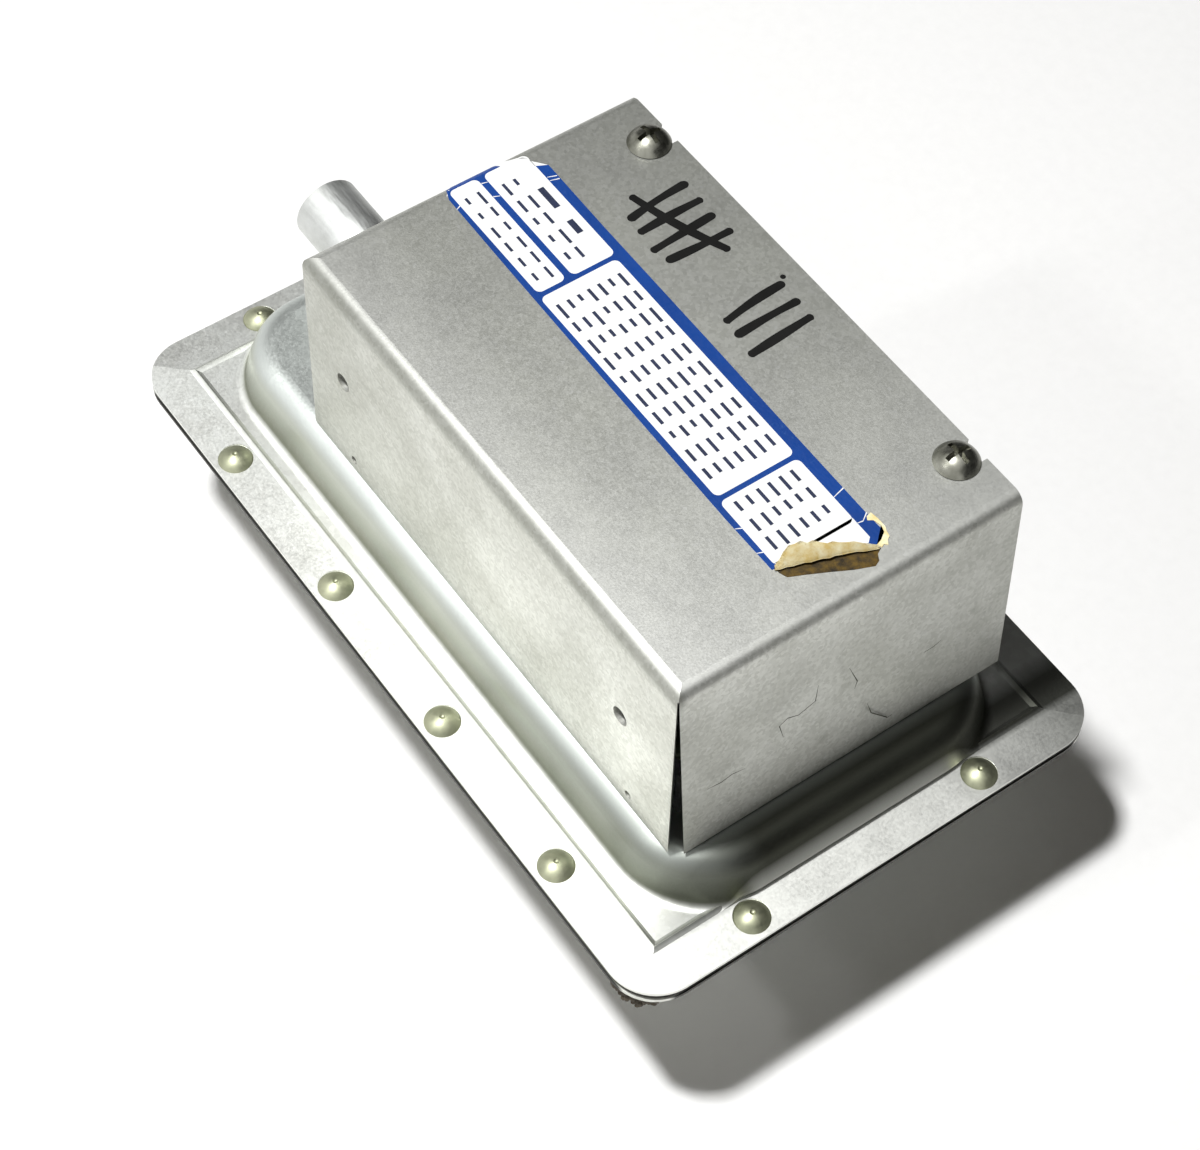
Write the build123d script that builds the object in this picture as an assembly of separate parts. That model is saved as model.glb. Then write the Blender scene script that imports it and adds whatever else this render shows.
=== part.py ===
"""Air pressure switch: a diaphragm between two riveted sheet-metal pans works a lever and a snap
switch under a folded cover.

Millimetres, +Z up. The origin is the middle of the two mounting holes on the mounting face, where
the switch lies on its back: X along the housing, the sample tubes towards -X, the cover screws
towards +Y. The front pan and the cover face up.
"""
import os
from math import cos, radians, sin, sqrt, tan

from build123d import *

# Housing pans, one pressing used twice, face to face
sheet = 1.0
cover_length = 106.0
cover_end_gap = 20.75       # cover's wall to the foot of the pan's wall, on average
end_rim = 6.7               # foot of the pan's wall to the flange's end
pan_length = cover_length + 2 * cover_end_gap       # at the foot of the wall, outside
flange_length = pan_length + 2 * end_rim
flange_width = 97.7
flange_corner_r = 9.0
housing_x = -9.0            # middle of the housing, from the mounting holes' middle
pan_width = 73.0            # at the foot of the wall, outside
pan_corner_r = 17.0
pan_depth = 9.2
pan_draft = 15.0            # degrees
pan_shoulder_r = 5.0
pan_foot_r = 2.0
bead_inset = 7.5            # flange edge to the outer side of the pressed bead
bead_width = 1.7
bead_height = 0.5
rim_drop = 0.35             # the rim outside the bead falls this much to its edge
gasket_thickness = 0.6
diaphragm_thickness = 0.8
rim_gap = 0.4               # diaphragm and gasket edges, in from the flange edge

# Housing rivets
rivet_inset = 4.0
rivet_pitch_long = 33.8     # four along each long side
rivet_pitch_short = 48.0    # two on each short side
rivet_head_r = 3.2
rivet_head_h = 1.7
rivet_shank_r = 1.6
rivet_tail_r = 2.4
rivet_tail_h = 1.0
rivet_dimple_r = 0.6
seat_depth = 0.3            # flat pressed in the rim under each head
fit_gap = 0.05              # radial play of a shank, pin or stem in its hole

# Mounting bracket on the rear pan
mount_spacing = 98.4
mount_hole_r = 2.38
standoff = 25.4             # mounting face to the rear pan
bracket_sheet = 1.6
bracket_width = 40.0
bracket_web_length = 75.2
foot_end = 8.8              # foot beyond its hole
foot_corner_r = 5.0
weld_nut_flats = 8.7
weld_nut_h = 3.2
bracket_rivet_x = 26.0
bracket_rivet_y = 13.0

# Sample tubes, one on each side of the diaphragm
tube_r = 6.35
tube_wall = 0.9
tube_bend_r = 11.5
tube_reach = 20.3           # riser axis to the tube's open end
tube_end_gap = 19.75        # riser axis to the foot of the pan's wall
tube_x = housing_x - pan_length / 2 + tube_end_gap
tube_y = -9.2
tube_straight = 0.5         # riser above its collar
tube_collar_r = 8.4
tube_collar_h = 1.2
tube_lip_r = 7.4
tube_lip_h = 0.8
seal_thickness = 0.8

# Diaphragm plates and stem
dish_depth = 3.2
dish_slope = 50.0           # degrees from upright
dish_end_gap = 5.25         # dish edge to the foot of the pan's wall
dish_length = pan_length - 2 * dish_end_gap
dish_width = 62.0
dish_corner_r = 12.0
plate_thickness = 1.0
front_plate_margin = 5.0    # plate edge in from the foot of the web
rear_plate_margin = 7.0
plate_corner_r = 8.0
stem_r = 2.0
stem_collar_r = 4.0
stem_collar_h = 1.2
stem_head_h = 0.8
bushing_r = 4.0
bushing_flange_r = 6.0
bushing_flange_h = 1.2
bushing_lip_r = 4.7
bushing_lip_h = 0.8
clip_h = 0.6
clip_gap = 0.1
clip_reach = 1.6            # clip ring beyond the shaft it grips

# Cover and the bracket that carries it
cover_front = -31.5         # outside of the wall towards -Y, at the bend
cover_back = 35.9           # open edge towards +Y
cover_height = 43.1
cover_clearance = 0.4       # cover's lower edge above the front pan
cover_sheet = 1.2
cover_bend_r = 2.4
splay_front = 0.4           # how far each wall leans out at its lower edge
splay_near = 3.1
splay_far = 0.5
seam_near = 2.7             # seam width at the lower edge
seam_far = 1.9
seam_top = 0.3
cover_screw_x = cover_length / 2 - 11.5
cover_screw_edge = 4.4      # screw axis to the cover's open edge
slot_r = 2.3
wall_hole_r = 1.8
wall_hole_x = (11.5 - cover_length / 2, cover_length / 2 - 13.5)
wall_hole_drop = 21.6       # below the cover's top
mark_hole_r = 0.8
mark_hole_x = (13.7 - cover_length / 2, cover_length / 2 - 10.0)
mark_hole_rise = 2.4        # above the cover's lower edge
slide_gap = 0.2             # between the cover and what it slides on or under
carrier_sheet = 1.2
carrier_end_gap = 4.0       # carrier's end inside the cover's wall
carrier_length = cover_length - 2 * carrier_end_gap
carrier_front = -26.0
carrier_back = 29.0
lip_height = 9.2
conduit_r = 11.1
conduit_x = carrier_length / 2 - 16.0
conduit_z = 18.0            # above the carrier's base
carrier_rivet_x = carrier_length / 2 - 9.0
carrier_rivet_y = (-18.0, 20.0)
small_rivet_r = 1.5
small_rivet_head_r = 2.9
small_rivet_head_h = 1.1
small_rivet_tail_r = 2.3
small_rivet_tail_h = 1.0

# Cover and ground screws
pan_head_r = 3.95
pan_head_h = 2.5
screw_r = 2.05
screw_length = 9.0
recess_w = 0.9
recess_l = 4.6
recess_h = 1.5

# Mechanism frame, lever and pivot
frame_half = 6.2            # inside half width of the channel
frame_sheet = 1.2
frame_start = -40.0
frame_end = 36.0
tower_half = 8.0
tower_top = 32.4            # above the carrier's base plate
wall_low = 14.2
pivot_x = -34.0
pivot_rise = 9.2
pivot_r = 1.5
ear_r = 4.0
lever_sheet = 1.2
lever_half = 5.0
lever_tip = 15.0
lever_flange_end = -16.0
contact_gap = 0.1
diaphragm_travel = 0.8

# Calibration spring and set-point screw
spring_r = 4.2              # middle of the wire
spring_wire_r = 0.5
spring_turns = 6.0
spring_height = 14.6
cup_r = 5.4
cup_base = 0.8
cup_rim = 1.2
nut_plate = 11.8
nut_thickness = 2.0
nut_hub_r = 3.4
nut_hub_h = 2.5
nut_travel = 6.0
pointer_half = 1.4
pointer_reach = 2.0         # beyond the frame's wall
adjuster_r = 2.5
adjuster_head_r = 4.5
adjuster_head_h = 3.5
adjuster_end_gap = 3.1      # screw's end above the spring cup
driver_slot_w = 1.2
driver_slot_h = 1.6
bridge_sheet = 1.6
bridge_overhang = 1.0
tab_half = 3.5

# Snap switch
switch_length = 27.8
switch_height = 15.9
switch_thickness = 10.3
switch_start = 4.0
switch_cover_t = 1.75
switch_wall = 1.8
plunger_x = 12.0
plunger_r = 1.7
plunger_reach = 2.5
switch_hole_in = 2.8        # mounting holes, in from the ends
switch_screw_r = 1.5
switch_screw_head_r = 2.6
switch_screw_head_h = 1.8
terminal_x = (8.0, 16.0, 24.0)
terminal_w = 5.5
terminal_t = 0.8
terminal_rise = 8.3
terminal_screw_r = 1.5
terminal_head_r = 2.8
terminal_head_h = 1.8
terminal_washer_r = 3.1
terminal_washer_t = 0.9
terminal_screw_end = 3.0    # shank beyond the washer
blade_slot_start = 16.0
blade_slot_gap = 4.0        # slot to the blade's end
blade_slot_w = 1.0
blade_half = 1.6
blade_rise = 1.0            # above the case's floor
blade_end_gap = 1.0
blade_t = 0.3
contact_r = 1.2
contact_h = 0.7
ground_x = 8.0
ground_rise = 14.0

# Levels worked out from the sizes above
rear_pan_z = standoff
rear_rim_z = rear_pan_z + pan_depth
gasket_z = rear_rim_z + sheet
diaphragm_z = gasket_z + gasket_thickness
front_inner_z = diaphragm_z + diaphragm_thickness
front_rim_z = front_inner_z + sheet
front_pan_z = front_rim_z + pan_depth
middle_z = (front_pan_z + rear_pan_z) / 2
cover_low_z = front_pan_z + cover_clearance
cover_top_z = cover_low_z + cover_height
cover_inner_z = cover_top_z - cover_sheet
carrier_top_z = cover_inner_z - slide_gap
base_z = front_pan_z + carrier_sheet
floor_z = base_z + frame_sheet
cover_screw_y = cover_back - cover_screw_edge
dish_z = diaphragm_z - dish_depth
lever_low_z = base_z + pivot_rise - lever_sheet / 2
lever_top_z = lever_low_z + lever_sheet
pivot_z = base_z + pivot_rise
cup_z = lever_top_z + cup_base
nut_z = cup_z + spring_height
bridge_z = base_z + tower_top - 1.2
clamp_length = pan_length + 2 * sheet * (tan(radians(pan_draft)) - 1 / cos(radians(pan_draft)))
clamp_width = pan_width + clamp_length - pan_length
lever_arm = housing_x - pivot_x
switch_z = lever_top_z + contact_gap + plunger_reach
far = 400.0                 # longer than anything here, for cuts that go right through
past = 5.0                  # how far a short cut runs past the face it goes through


def at(x=0.0, y=0.0, z=0.0):
    return Location((x, y, z))


def disc(r, h, x, y, z):
    """Upright cylinder standing on z."""
    return at(x, y, z) * Cylinder(r, h, align=(Align.CENTER, Align.CENTER, Align.MIN))


def block(x, y, z):
    """Box between two corners, each axis given as (low, high)."""
    size = [b - a for a, b in (x, y, z)]
    middle = [(a + b) / 2 for a, b in (x, y, z)]
    return at(*middle) * Box(*size)


def rod_y(r, y0, y1, x, z):
    """Cylinder along Y."""
    return at(x, y0, z) * (Rotation(-90, 0, 0) * disc(r, y1 - y0, 0, 0, 0))


def rounded(length, width, r, z, height, taper=0.0, x=housing_x):
    """Rounded rectangle standing on z; a positive taper narrows it upwards."""
    return at(x, 0, z) * extrude(RectangleRounded(length, width, r), height, taper=taper)


def xz_plate(points, y0, y1, corner_r=0.0, rounded_points=()):
    """Flat plate in the XZ plane between y0 and y1, with some corners rounded."""
    face = Plane.XZ * make_face(Polyline(*points, close=True))
    if rounded_points:
        picked = [v for v in face.vertices() for p in rounded_points
                  if abs(v.X - p[0]) < 0.01 and abs(v.Z - p[1]) < 0.01]
        face = fillet(picked, corner_r)
    return at(0, y1, 0) * extrude(face, y1 - y0)


def turned(points, x, y):
    """Solid of revolution from (radius, z) points about an upright axis."""
    face = Plane.XZ * make_face(Polyline(*points, close=True))
    return at(x, y, 0) * revolve(face, Axis.Z)


def domed(r, h, sphere_drop=0.0):
    """Low domed head standing on z = 0."""
    sphere_r = (r * r + h * h) / (2 * h)
    ball = at(0, 0, h - sphere_r) * Sphere(sphere_r)
    return ball & disc(r, h, 0, 0, -sphere_drop)


def e_clip(shaft_r, x, y, z):
    """Retaining ring on an upright shaft, open over a sixth of its turn."""
    ring = disc(shaft_r + clip_reach, clip_h, x, y, z) - disc(shaft_r, clip_h, x, y, z)
    return ring - block((x, x + 3 * shaft_r), (y - shaft_r / 2, y + shaft_r / 2), (z - 1, z + 1))


def bent_profile(points, bends):
    """Closed sheet-metal profile; bends gives a corner radius for some of the points."""
    face = make_face(Polyline(*points, close=True))
    for (u, v), r in bends:
        corner = [p for p in face.vertices() if abs(p.X - u) < 0.01 and abs(p.Y - v) < 0.01]
        face = fillet(corner, r)
    return face


def small_rivet(x, y, top, bottom):
    """Flat-headed rivet with its head on top and its tail under bottom."""
    head = disc(small_rivet_head_r, small_rivet_head_h, x, y, top)
    head = fillet(head.edges().group_by(Axis.Z)[-1], small_rivet_head_h * 0.6)
    shank = disc(small_rivet_r, top - bottom, x, y, bottom)
    tail = disc(small_rivet_tail_r, small_rivet_tail_h, x, y, bottom - small_rivet_tail_h)
    return head + shank + tail


def rivet_points():
    """The twelve housing rivets: four along each long side, two on each short side."""
    half_x = flange_length / 2 - rivet_inset
    half_y = flange_width / 2 - rivet_inset
    long_side = [(housing_x + (i - 1.5) * rivet_pitch_long, s * half_y) for i in range(4) for s in (-1, 1)]
    short_side = [(housing_x + s * half_x, t * rivet_pitch_short / 2) for s in (-1, 1) for t in (-1, 1)]
    return long_side + short_side


def rivet_holes(r):
    return [disc(r, far, x, y, -far / 2) for x, y in rivet_points()]


def pressed_bead():
    """Raised rectangular bead round the pan, its corners mitred, standing on z = 0."""
    side = bead_width * 0.3
    slope = 180 / 3.14159265 * (side / bead_height)
    outer = extrude(Rectangle(flange_length - 2 * bead_inset, flange_width - 2 * bead_inset),
                    bead_height, taper=slope)
    inner = extrude(Rectangle(flange_length - 2 * (bead_inset + bead_width),
                              flange_width - 2 * (bead_inset + bead_width)), bead_height, taper=-slope)
    return at(housing_x) * (outer - inner)


def rim_slopes():
    """Four wedges that take the rim outside the bead down to its edge, mitred at the corners."""
    wedges = []
    for half, turn in ((flange_width / 2, 0), (flange_length / 2, 90)):
        start = half - bead_inset
        end = half + 4.0
        drop = rim_drop * (end - start) / bead_inset
        section = Plane.YZ * make_face(Polyline((start, 0), (end, -drop), (end, 1), (start, 1), close=True))
        wedge = extrude(section, far / 2, both=True)
        wedges += [at(housing_x) * (Rotation(0, 0, turn + flip) * wedge) for flip in (0, 180)]
    return wedges


def housing_half():
    """One pressed pan: its flange's outer face lies on z = 0 and its pan rises from it."""
    outside = rounded(pan_length, pan_width, pan_corner_r, 0, pan_depth, pan_draft)
    outside = fillet(outside.edges().group_by(Axis.Z)[-1], pan_shoulder_r)
    flange = rounded(flange_length, flange_width, flange_corner_r, -sheet, sheet)
    pan = flange + outside
    foot = [e for e in pan.edges() if abs(e.center().Z) < 0.01
            and abs(e.center().X - housing_x) < pan_length / 2 + 0.1
            and abs(e.center().Y) < pan_width / 2 + 0.1]
    pan = fillet(foot, pan_foot_r)
    for wedge in rim_slopes():
        pan -= wedge
    pan += pressed_bead()
    inside_r = pan_corner_r - (pan_length - clamp_length) / 2
    inside = rounded(clamp_length, clamp_width, inside_r, -sheet, pan_depth, pan_draft)
    inside = fillet(inside.edges().group_by(Axis.Z)[-1], pan_shoulder_r - sheet)
    pan -= inside
    for x, y in rivet_points():
        pan -= disc(rivet_head_r + fit_gap, far, x, y, -seat_depth)
        pan -= disc(rivet_shank_r + fit_gap, far, x, y, -far / 2)
    pan -= disc(tube_r + fit_gap, far, tube_x, tube_y, 0)
    return pan


def front_housing():
    pan = at(0, 0, front_rim_z) * housing_half()
    pan -= disc(bushing_r + fit_gap, far, housing_x, 0, front_rim_z)
    for x, y in carrier_rivet_points() + frame_rivet_points():
        pan -= disc(small_rivet_r + fit_gap, far, x, y, front_rim_z)
    return pan


def rear_housing():
    pan = at(0, 0, rear_rim_z) * mirror(housing_half(), Plane.XY)
    for x, y in bracket_rivet_points():
        pan -= disc(small_rivet_r + fit_gap, rear_rim_z, x, y, 0)
    return pan


def gasket():
    ring = rounded(flange_length - 2 * rim_gap, flange_width - 2 * rim_gap, flange_corner_r - rim_gap,
                   gasket_z, gasket_thickness)
    ring -= rounded(clamp_length, clamp_width, pan_corner_r - sheet, gasket_z - 1, gasket_thickness + 2)
    for hole in rivet_holes(rivet_shank_r + fit_gap):
        ring -= hole
    return ring


def dish(z):
    """Tapered dish hanging from z, as deep as the diaphragm's web."""
    form = extrude(RectangleRounded(dish_length, dish_width, dish_corner_r), dish_depth, taper=dish_slope)
    return at(housing_x, 0, z) * mirror(form, Plane.XY)


def diaphragm():
    """Clamped rim, sloping web and flat middle, moulded in one piece."""
    sheet_form = rounded(flange_length - 2 * rim_gap, flange_width - 2 * rim_gap,
                         flange_corner_r - rim_gap, diaphragm_z, diaphragm_thickness)
    sheet_form = sheet_form + dish(diaphragm_z) - dish(front_inner_z)
    sheet_form -= disc(stem_r + fit_gap, far, housing_x, 0, 0)
    for hole in rivet_holes(rivet_shank_r + fit_gap):
        sheet_form -= hole
    return sheet_form


def diaphragm_plate(margin, z):
    inset = margin + dish_depth * tan(radians(dish_slope))
    plate = rounded(dish_length - 2 * inset, dish_width - 2 * inset, plate_corner_r, z, plate_thickness)
    return plate - disc(stem_r + fit_gap, far, housing_x, 0, 0)


def housing_rivets():
    """Domed heads on the front rim, tails under the rear rim."""
    rivets = []
    low = rear_rim_z + seat_depth
    for x, y in rivet_points():
        head = at(x, y, front_rim_z - seat_depth) * domed(rivet_head_r, rivet_head_h)
        head -= at(x, y, front_rim_z - seat_depth + rivet_head_h + 0.3) * Sphere(rivet_dimple_r)
        shank = disc(rivet_shank_r, front_rim_z - low, x, y, low)
        tail = disc(rivet_tail_r, rivet_tail_h, x, y, low - rivet_tail_h)
        tail = fillet(tail.edges().group_by(Axis.Z)[0], rivet_tail_h * 0.4)
        rivets.append(head + shank + tail)
    return Compound(children=rivets)


def mounting_bracket():
    """Hat-shaped strap: a web on the rear pan, two legs, and a foot with a hole on each side."""
    t = bracket_sheet
    web = bracket_web_length / 2
    end = mount_spacing / 2 + foot_end
    points = [(end, 0), (end, t), (web, t), (web, standoff), (-web, standoff), (-web, t), (-end, t),
              (-end, 0), (t - web, 0), (t - web, standoff - t), (web - t, standoff - t), (web - t, 0)]
    bends = [((s * web, standoff), 2 * t) for s in (-1, 1)] + [((s * (web - t), 0), 2 * t) for s in (-1, 1)]
    bends += [((s * web, t), t) for s in (-1, 1)] + [((s * (web - t), standoff - t), t) for s in (-1, 1)]
    strap = extrude(Plane.XZ * bent_profile(points, bends), bracket_width / 2, both=True)
    ends = [e for e in strap.edges().filter_by(Axis.Z) if abs(abs(e.center().X) - end) < 0.01]
    strap = fillet(ends, foot_corner_r)
    for s in (-1, 1):
        strap -= disc(mount_hole_r, 3 * t, s * mount_spacing / 2, 0, -t)
    for x, y in bracket_rivet_points():
        strap -= disc(small_rivet_r + fit_gap, 3 * t, x, y, standoff - 2 * t)
    return strap


def mounting_nuts():
    """Weld nuts on the feet."""
    nuts = []
    for s in (-1, 1):
        hexagon = RegularPolygon(weld_nut_flats / 2, 6, major_radius=False) - Circle(mount_hole_r)
        nut = extrude(hexagon, weld_nut_h)
        nuts.append(at(s * mount_spacing / 2, 0, bracket_sheet) * nut)
    return Compound(children=nuts)


def bracket_rivet_points():
    return [(s * bracket_rivet_x, t * bracket_rivet_y) for s in (-1, 1) for t in (-1, 1)]


def carrier_rivet_points():
    return [(s * carrier_rivet_x, y) for s in (-1, 1) for y in carrier_rivet_y]


def frame_rivet_points():
    return [(housing_x - 4 * ear_r, 0), (switch_start + switch_length - switch_hole_in, 0)]


def rivet_group(points, top, bottom):
    return Compound(children=[small_rivet(x, y, top, bottom) for x, y in points])


def sample_tube():
    """Elbow on the front pan: lip inside the pan, collar outside, open end towards -X."""
    start = front_pan_z - sheet
    collar_z = front_pan_z + seal_thickness
    bend_z = collar_z + tube_collar_h + tube_straight
    axis_z = bend_z + tube_bend_r
    riser = Line((tube_x, tube_y, start - tube_lip_h), (tube_x, tube_y, bend_z))
    middle = tube_bend_r * (1 - sqrt(0.5))
    bend = ThreePointArc((tube_x, tube_y, bend_z), (tube_x - middle, tube_y, axis_z - middle),
                         (tube_x - tube_bend_r, tube_y, axis_z))
    stub = Line((tube_x - tube_bend_r, tube_y, axis_z), (tube_x - tube_reach, tube_y, axis_z))
    path = Wire([riser, bend, stub])
    foot = Plane((tube_x, tube_y, start - tube_lip_h))
    body = sweep(foot * Circle(tube_r), path=path)
    body += disc(tube_collar_r, tube_collar_h, tube_x, tube_y, collar_z)
    body += disc(tube_lip_r, tube_lip_h, tube_x, tube_y, start - tube_lip_h)
    return body - sweep(foot * Circle(tube_r - tube_wall), path=path)


def tube_seal():
    ring = disc(tube_collar_r - 0.2, seal_thickness, tube_x, tube_y, front_pan_z)
    return ring - disc(tube_r + fit_gap, far, tube_x, tube_y, 0)


def to_rear(solid):
    """The same piece on the rear pan."""
    return mirror(solid, Plane((0, 0, middle_z)))


def wall_profile(left, right, splays, inside):
    """Top and two walls of the cover seen from its end, filled down to below its lower edge.

    A splay of None leaves that side straight and open.
    """
    r = cover_bend_r - cover_sheet if inside else cover_bend_r
    top = cover_inner_z if inside else cover_top_z
    low = cover_low_z - (past if inside else 0)
    centre_z = cover_top_z - cover_bend_r
    lines = []
    ends = []
    for side, edge, splay in ((-1, left, splays[0]), (1, right, splays[1])):
        if splay is None:
            edge += side * (past if inside else 0)
            lines.append(Line((edge, top), (edge, low)))
            ends.append(((edge, top), (edge, low)))
            continue
        lean = radians(90) - radians(90 - 57.29578 * splay / cover_height)
        centre = edge - side * cover_bend_r * cos(lean)
        bend_end = (centre + side * r * cos(lean), centre_z + r * sin(lean))
        bend_mid = (centre + side * r * cos(radians(50)), centre_z + r * sin(radians(50)))
        foot = (bend_end[0] + side * tan(lean) * (bend_end[1] - low), low)
        lines += [ThreePointArc((centre, top), bend_mid, bend_end), Line(bend_end, foot)]
        ends.append(((centre, top), foot))
    lines += [Line(ends[0][0], ends[1][0]), Line(ends[0][1], ends[1][1])]
    return make_face(Wire(lines))


def cover_form(inside):
    half = cover_length / 2
    along = extrude(Plane.YZ * wall_profile(cover_front, cover_back, (splay_front, None), inside),
                    far / 2, both=True)
    across = extrude(Plane.XZ * wall_profile(-half, half, (splay_far, splay_near), inside),
                     far / 2, both=True)
    return along & across


def corner_seam(side, splay, width):
    """Wedge cut out of a corner of the cover, nearly closed at the top."""
    shift = (splay_front - splay) / sqrt(2)
    plane = Plane(origin=(side * (cover_length / 2 + splay), cover_front - splay_front, 0),
                  x_dir=(side, 1, 0), z_dir=(side, -1, 0))
    up = 1 if plane.y_dir.Z > 0 else -1
    top = up * (cover_top_z - cover_bend_r / 2)
    low = up * (cover_low_z - 1)
    section = Polyline((-width / 2, low), (width / 2, low), (shift + seam_top / 2, top),
                       (shift - seam_top / 2, top), close=True)
    return extrude(plane * make_face(section), 6, both=True)


def cover():
    """Folded cover with three walls, open towards +Y, where its screw slots run out."""
    shell = cover_form(False) - cover_form(True)
    shell -= corner_seam(1, splay_near, seam_near)
    shell -= corner_seam(-1, splay_far, seam_far)
    for s in (-1, 1):
        x = s * cover_screw_x
        shell -= disc(slot_r, far, x, cover_screw_y, cover_inner_z - 1)
        shell -= block((x - slot_r, x + slot_r), (cover_screw_y, cover_back + 1),
                       (cover_inner_z - 1, cover_top_z + 1))
    for x in wall_hole_x:
        shell -= rod_y(wall_hole_r, 2 * cover_front, cover_front / 2, x, cover_top_z - wall_hole_drop)
    for x in mark_hole_x:
        shell -= rod_y(mark_hole_r, 2 * cover_front, cover_front / 2, x, cover_low_z + mark_hole_rise)
    return shell


def cover_carrier():
    """Base on the front pan, back wall with the conduit hole, and the flange under the cover."""
    t = carrier_sheet
    inner = carrier_back - t
    top = carrier_top_z
    end = cover_back - 0.35
    points = [(carrier_front, front_pan_z), (carrier_back, front_pan_z), (carrier_back, top - t),
              (end, top - t), (end, top), (inner, top), (inner, base_z), (carrier_front, base_z)]
    bends = [((carrier_back, front_pan_z), 2 * t), ((inner, base_z), t), ((carrier_back, top - t), t),
             ((inner, top), 2 * t)]
    half = carrier_length / 2
    body = extrude(Plane.YZ * bent_profile(points, bends), half, both=True)
    for s in (-1, 1):
        x = sorted((s * half, s * (half - t)))
        body += block(x, (carrier_front, inner - 2 * t), (front_pan_z, base_z + lip_height))
        body += disc(screw_r + 1.0, t + 1.8, s * cover_screw_x, cover_screw_y, top - t - 1.8)
        body -= disc(screw_r + fit_gap, far, s * cover_screw_x, cover_screw_y, base_z + 1)
    body -= rod_y(conduit_r, inner - past, carrier_back + past, conduit_x, base_z + conduit_z)
    body -= rod_y(screw_r + fit_gap, inner - past, carrier_back + past, ground_x, base_z + ground_rise)
    body -= disc(bushing_r + fit_gap, past, housing_x, 0, front_pan_z - 1)
    for x, y in carrier_rivet_points() + frame_rivet_points():
        body -= disc(small_rivet_r + fit_gap, past, x, y, front_pan_z - 1)
    return body


def pan_head_screw(length):
    """Cross-recess screw standing on z = 0, its shank below."""
    head = domed(pan_head_r, pan_head_h)
    for size in ((recess_l, recess_w), (recess_w, recess_l)):
        head -= at(0, 0, pan_head_h - recess_h) * extrude(Rectangle(*size), pan_head_h)
    shank = disc(screw_r, length, 0, 0, -length)
    return head + chamfer(shank.edges().group_by(Axis.Z)[0], screw_r * 0.3)


def cover_screws():
    top = cover_top_z + slide_gap
    return Compound(children=[at(s * cover_screw_x, cover_screw_y, top) * pan_head_screw(screw_length)
                              for s in (-1, 1)])


def ground_screw():
    screw = Rotation(90, 0, 0) * pan_head_screw(carrier_sheet + 3.0)
    return at(ground_x, carrier_back - carrier_sheet, base_z + ground_rise) * screw


def mechanism_frame():
    """Channel for the lever: pivot ears, a tower each side for the adjuster, a wall for the switch."""
    t = frame_sheet
    low, top = base_z, bridge_z
    near, off = housing_x - tower_half, housing_x + tower_half
    ear_end = pivot_x + 2 * ear_r
    front = [(frame_start, low), (off, low), (off, top), (near, top), (ear_end, low + wall_low),
             (frame_start, low + wall_low)]
    back = [(frame_start, low), (frame_end, low), (frame_end, top), (near, top), (ear_end, low + wall_low),
            (frame_start, low + wall_low)]
    half = frame_half + t
    body = block((frame_start, frame_end), (-half, half), (low, floor_z))
    body += xz_plate(front, -half, -frame_half, 3.0, [(off, top), (near, top), (frame_start, low + wall_low)])
    body += xz_plate(back, frame_half, half, 3.0,
                     [(frame_end, top), (near, top), (frame_start, low + wall_low)])
    for y0, y1 in ((-half, -frame_half), (frame_half, half)):
        body += block((housing_x - tab_half, housing_x + tab_half), (y0, y1), (top - t, top + bridge_sheet))
    slot_low = nut_z - nut_travel - 0.5
    body -= block((housing_x - pointer_half - 0.4, housing_x + pointer_half + 0.4),
                  (-half - 1, -frame_half + 1), (slot_low, nut_z + nut_thickness + 0.6))
    body -= rod_y(pivot_r + fit_gap, -far / 2, far / 2, pivot_x, pivot_z)
    for x, z in switch_hole_points():
        body -= rod_y(switch_screw_r + fit_gap, 0, half + 1, x, z)
    body -= disc(bushing_r + fit_gap, past, housing_x, 0, low - 1)
    for x, y in frame_rivet_points():
        body -= disc(small_rivet_r + fit_gap, past, x, y, low - 1)
    return body


def adjuster_bridge():
    """Plate across the two towers, held by their tabs; the set-point screw turns in it."""
    half = frame_half + frame_sheet
    plate = block((housing_x - tower_half, housing_x + tower_half),
                  (-half - bridge_overhang, half + bridge_overhang), (bridge_z, bridge_z + bridge_sheet))
    plate = fillet(plate.edges().filter_by(Axis.Z), 1.5)
    for y0, y1 in ((-half, -frame_half), (frame_half, half)):
        plate -= block((housing_x - tab_half - fit_gap, housing_x + tab_half + fit_gap),
                       (y0 - fit_gap, y1 + fit_gap), (bridge_z - 1, bridge_z + past))
    return plate - disc(adjuster_r + fit_gap, far, housing_x, 0, bridge_z - 1)


def stem():
    """Stem riveted through the plates; its rounded top lifts the lever."""
    low = dish_z - plate_thickness
    collar = dish_z + diaphragm_thickness + plate_thickness
    top = lever_low_z - contact_gap
    points = [(0, low - stem_head_h), (stem_collar_r, low - stem_head_h), (stem_collar_r, low), (stem_r, low),
              (stem_r, collar), (stem_collar_r, collar), (stem_collar_r, collar + stem_collar_h),
              (stem_r, collar + stem_collar_h), (stem_r, top), (0, top)]
    body = turned(points, housing_x, 0)
    tip = body.edges().filter_by(GeomType.CIRCLE).group_by(Axis.Z)[-1]
    return fillet(tip, stem_r * 0.7)


def stem_bushing():
    """Guide staked through the pan, the carrier and the frame."""
    low = front_pan_z - sheet
    bore = stem_r + fit_gap
    points = [(bore, low - bushing_lip_h), (bushing_lip_r, low - bushing_lip_h), (bushing_lip_r, low),
              (bushing_r, low), (bushing_r, floor_z), (bushing_flange_r, floor_z),
              (bushing_flange_r, floor_z + bushing_flange_h), (bore, floor_z + bushing_flange_h)]
    return turned(points, housing_x, 0)


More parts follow.
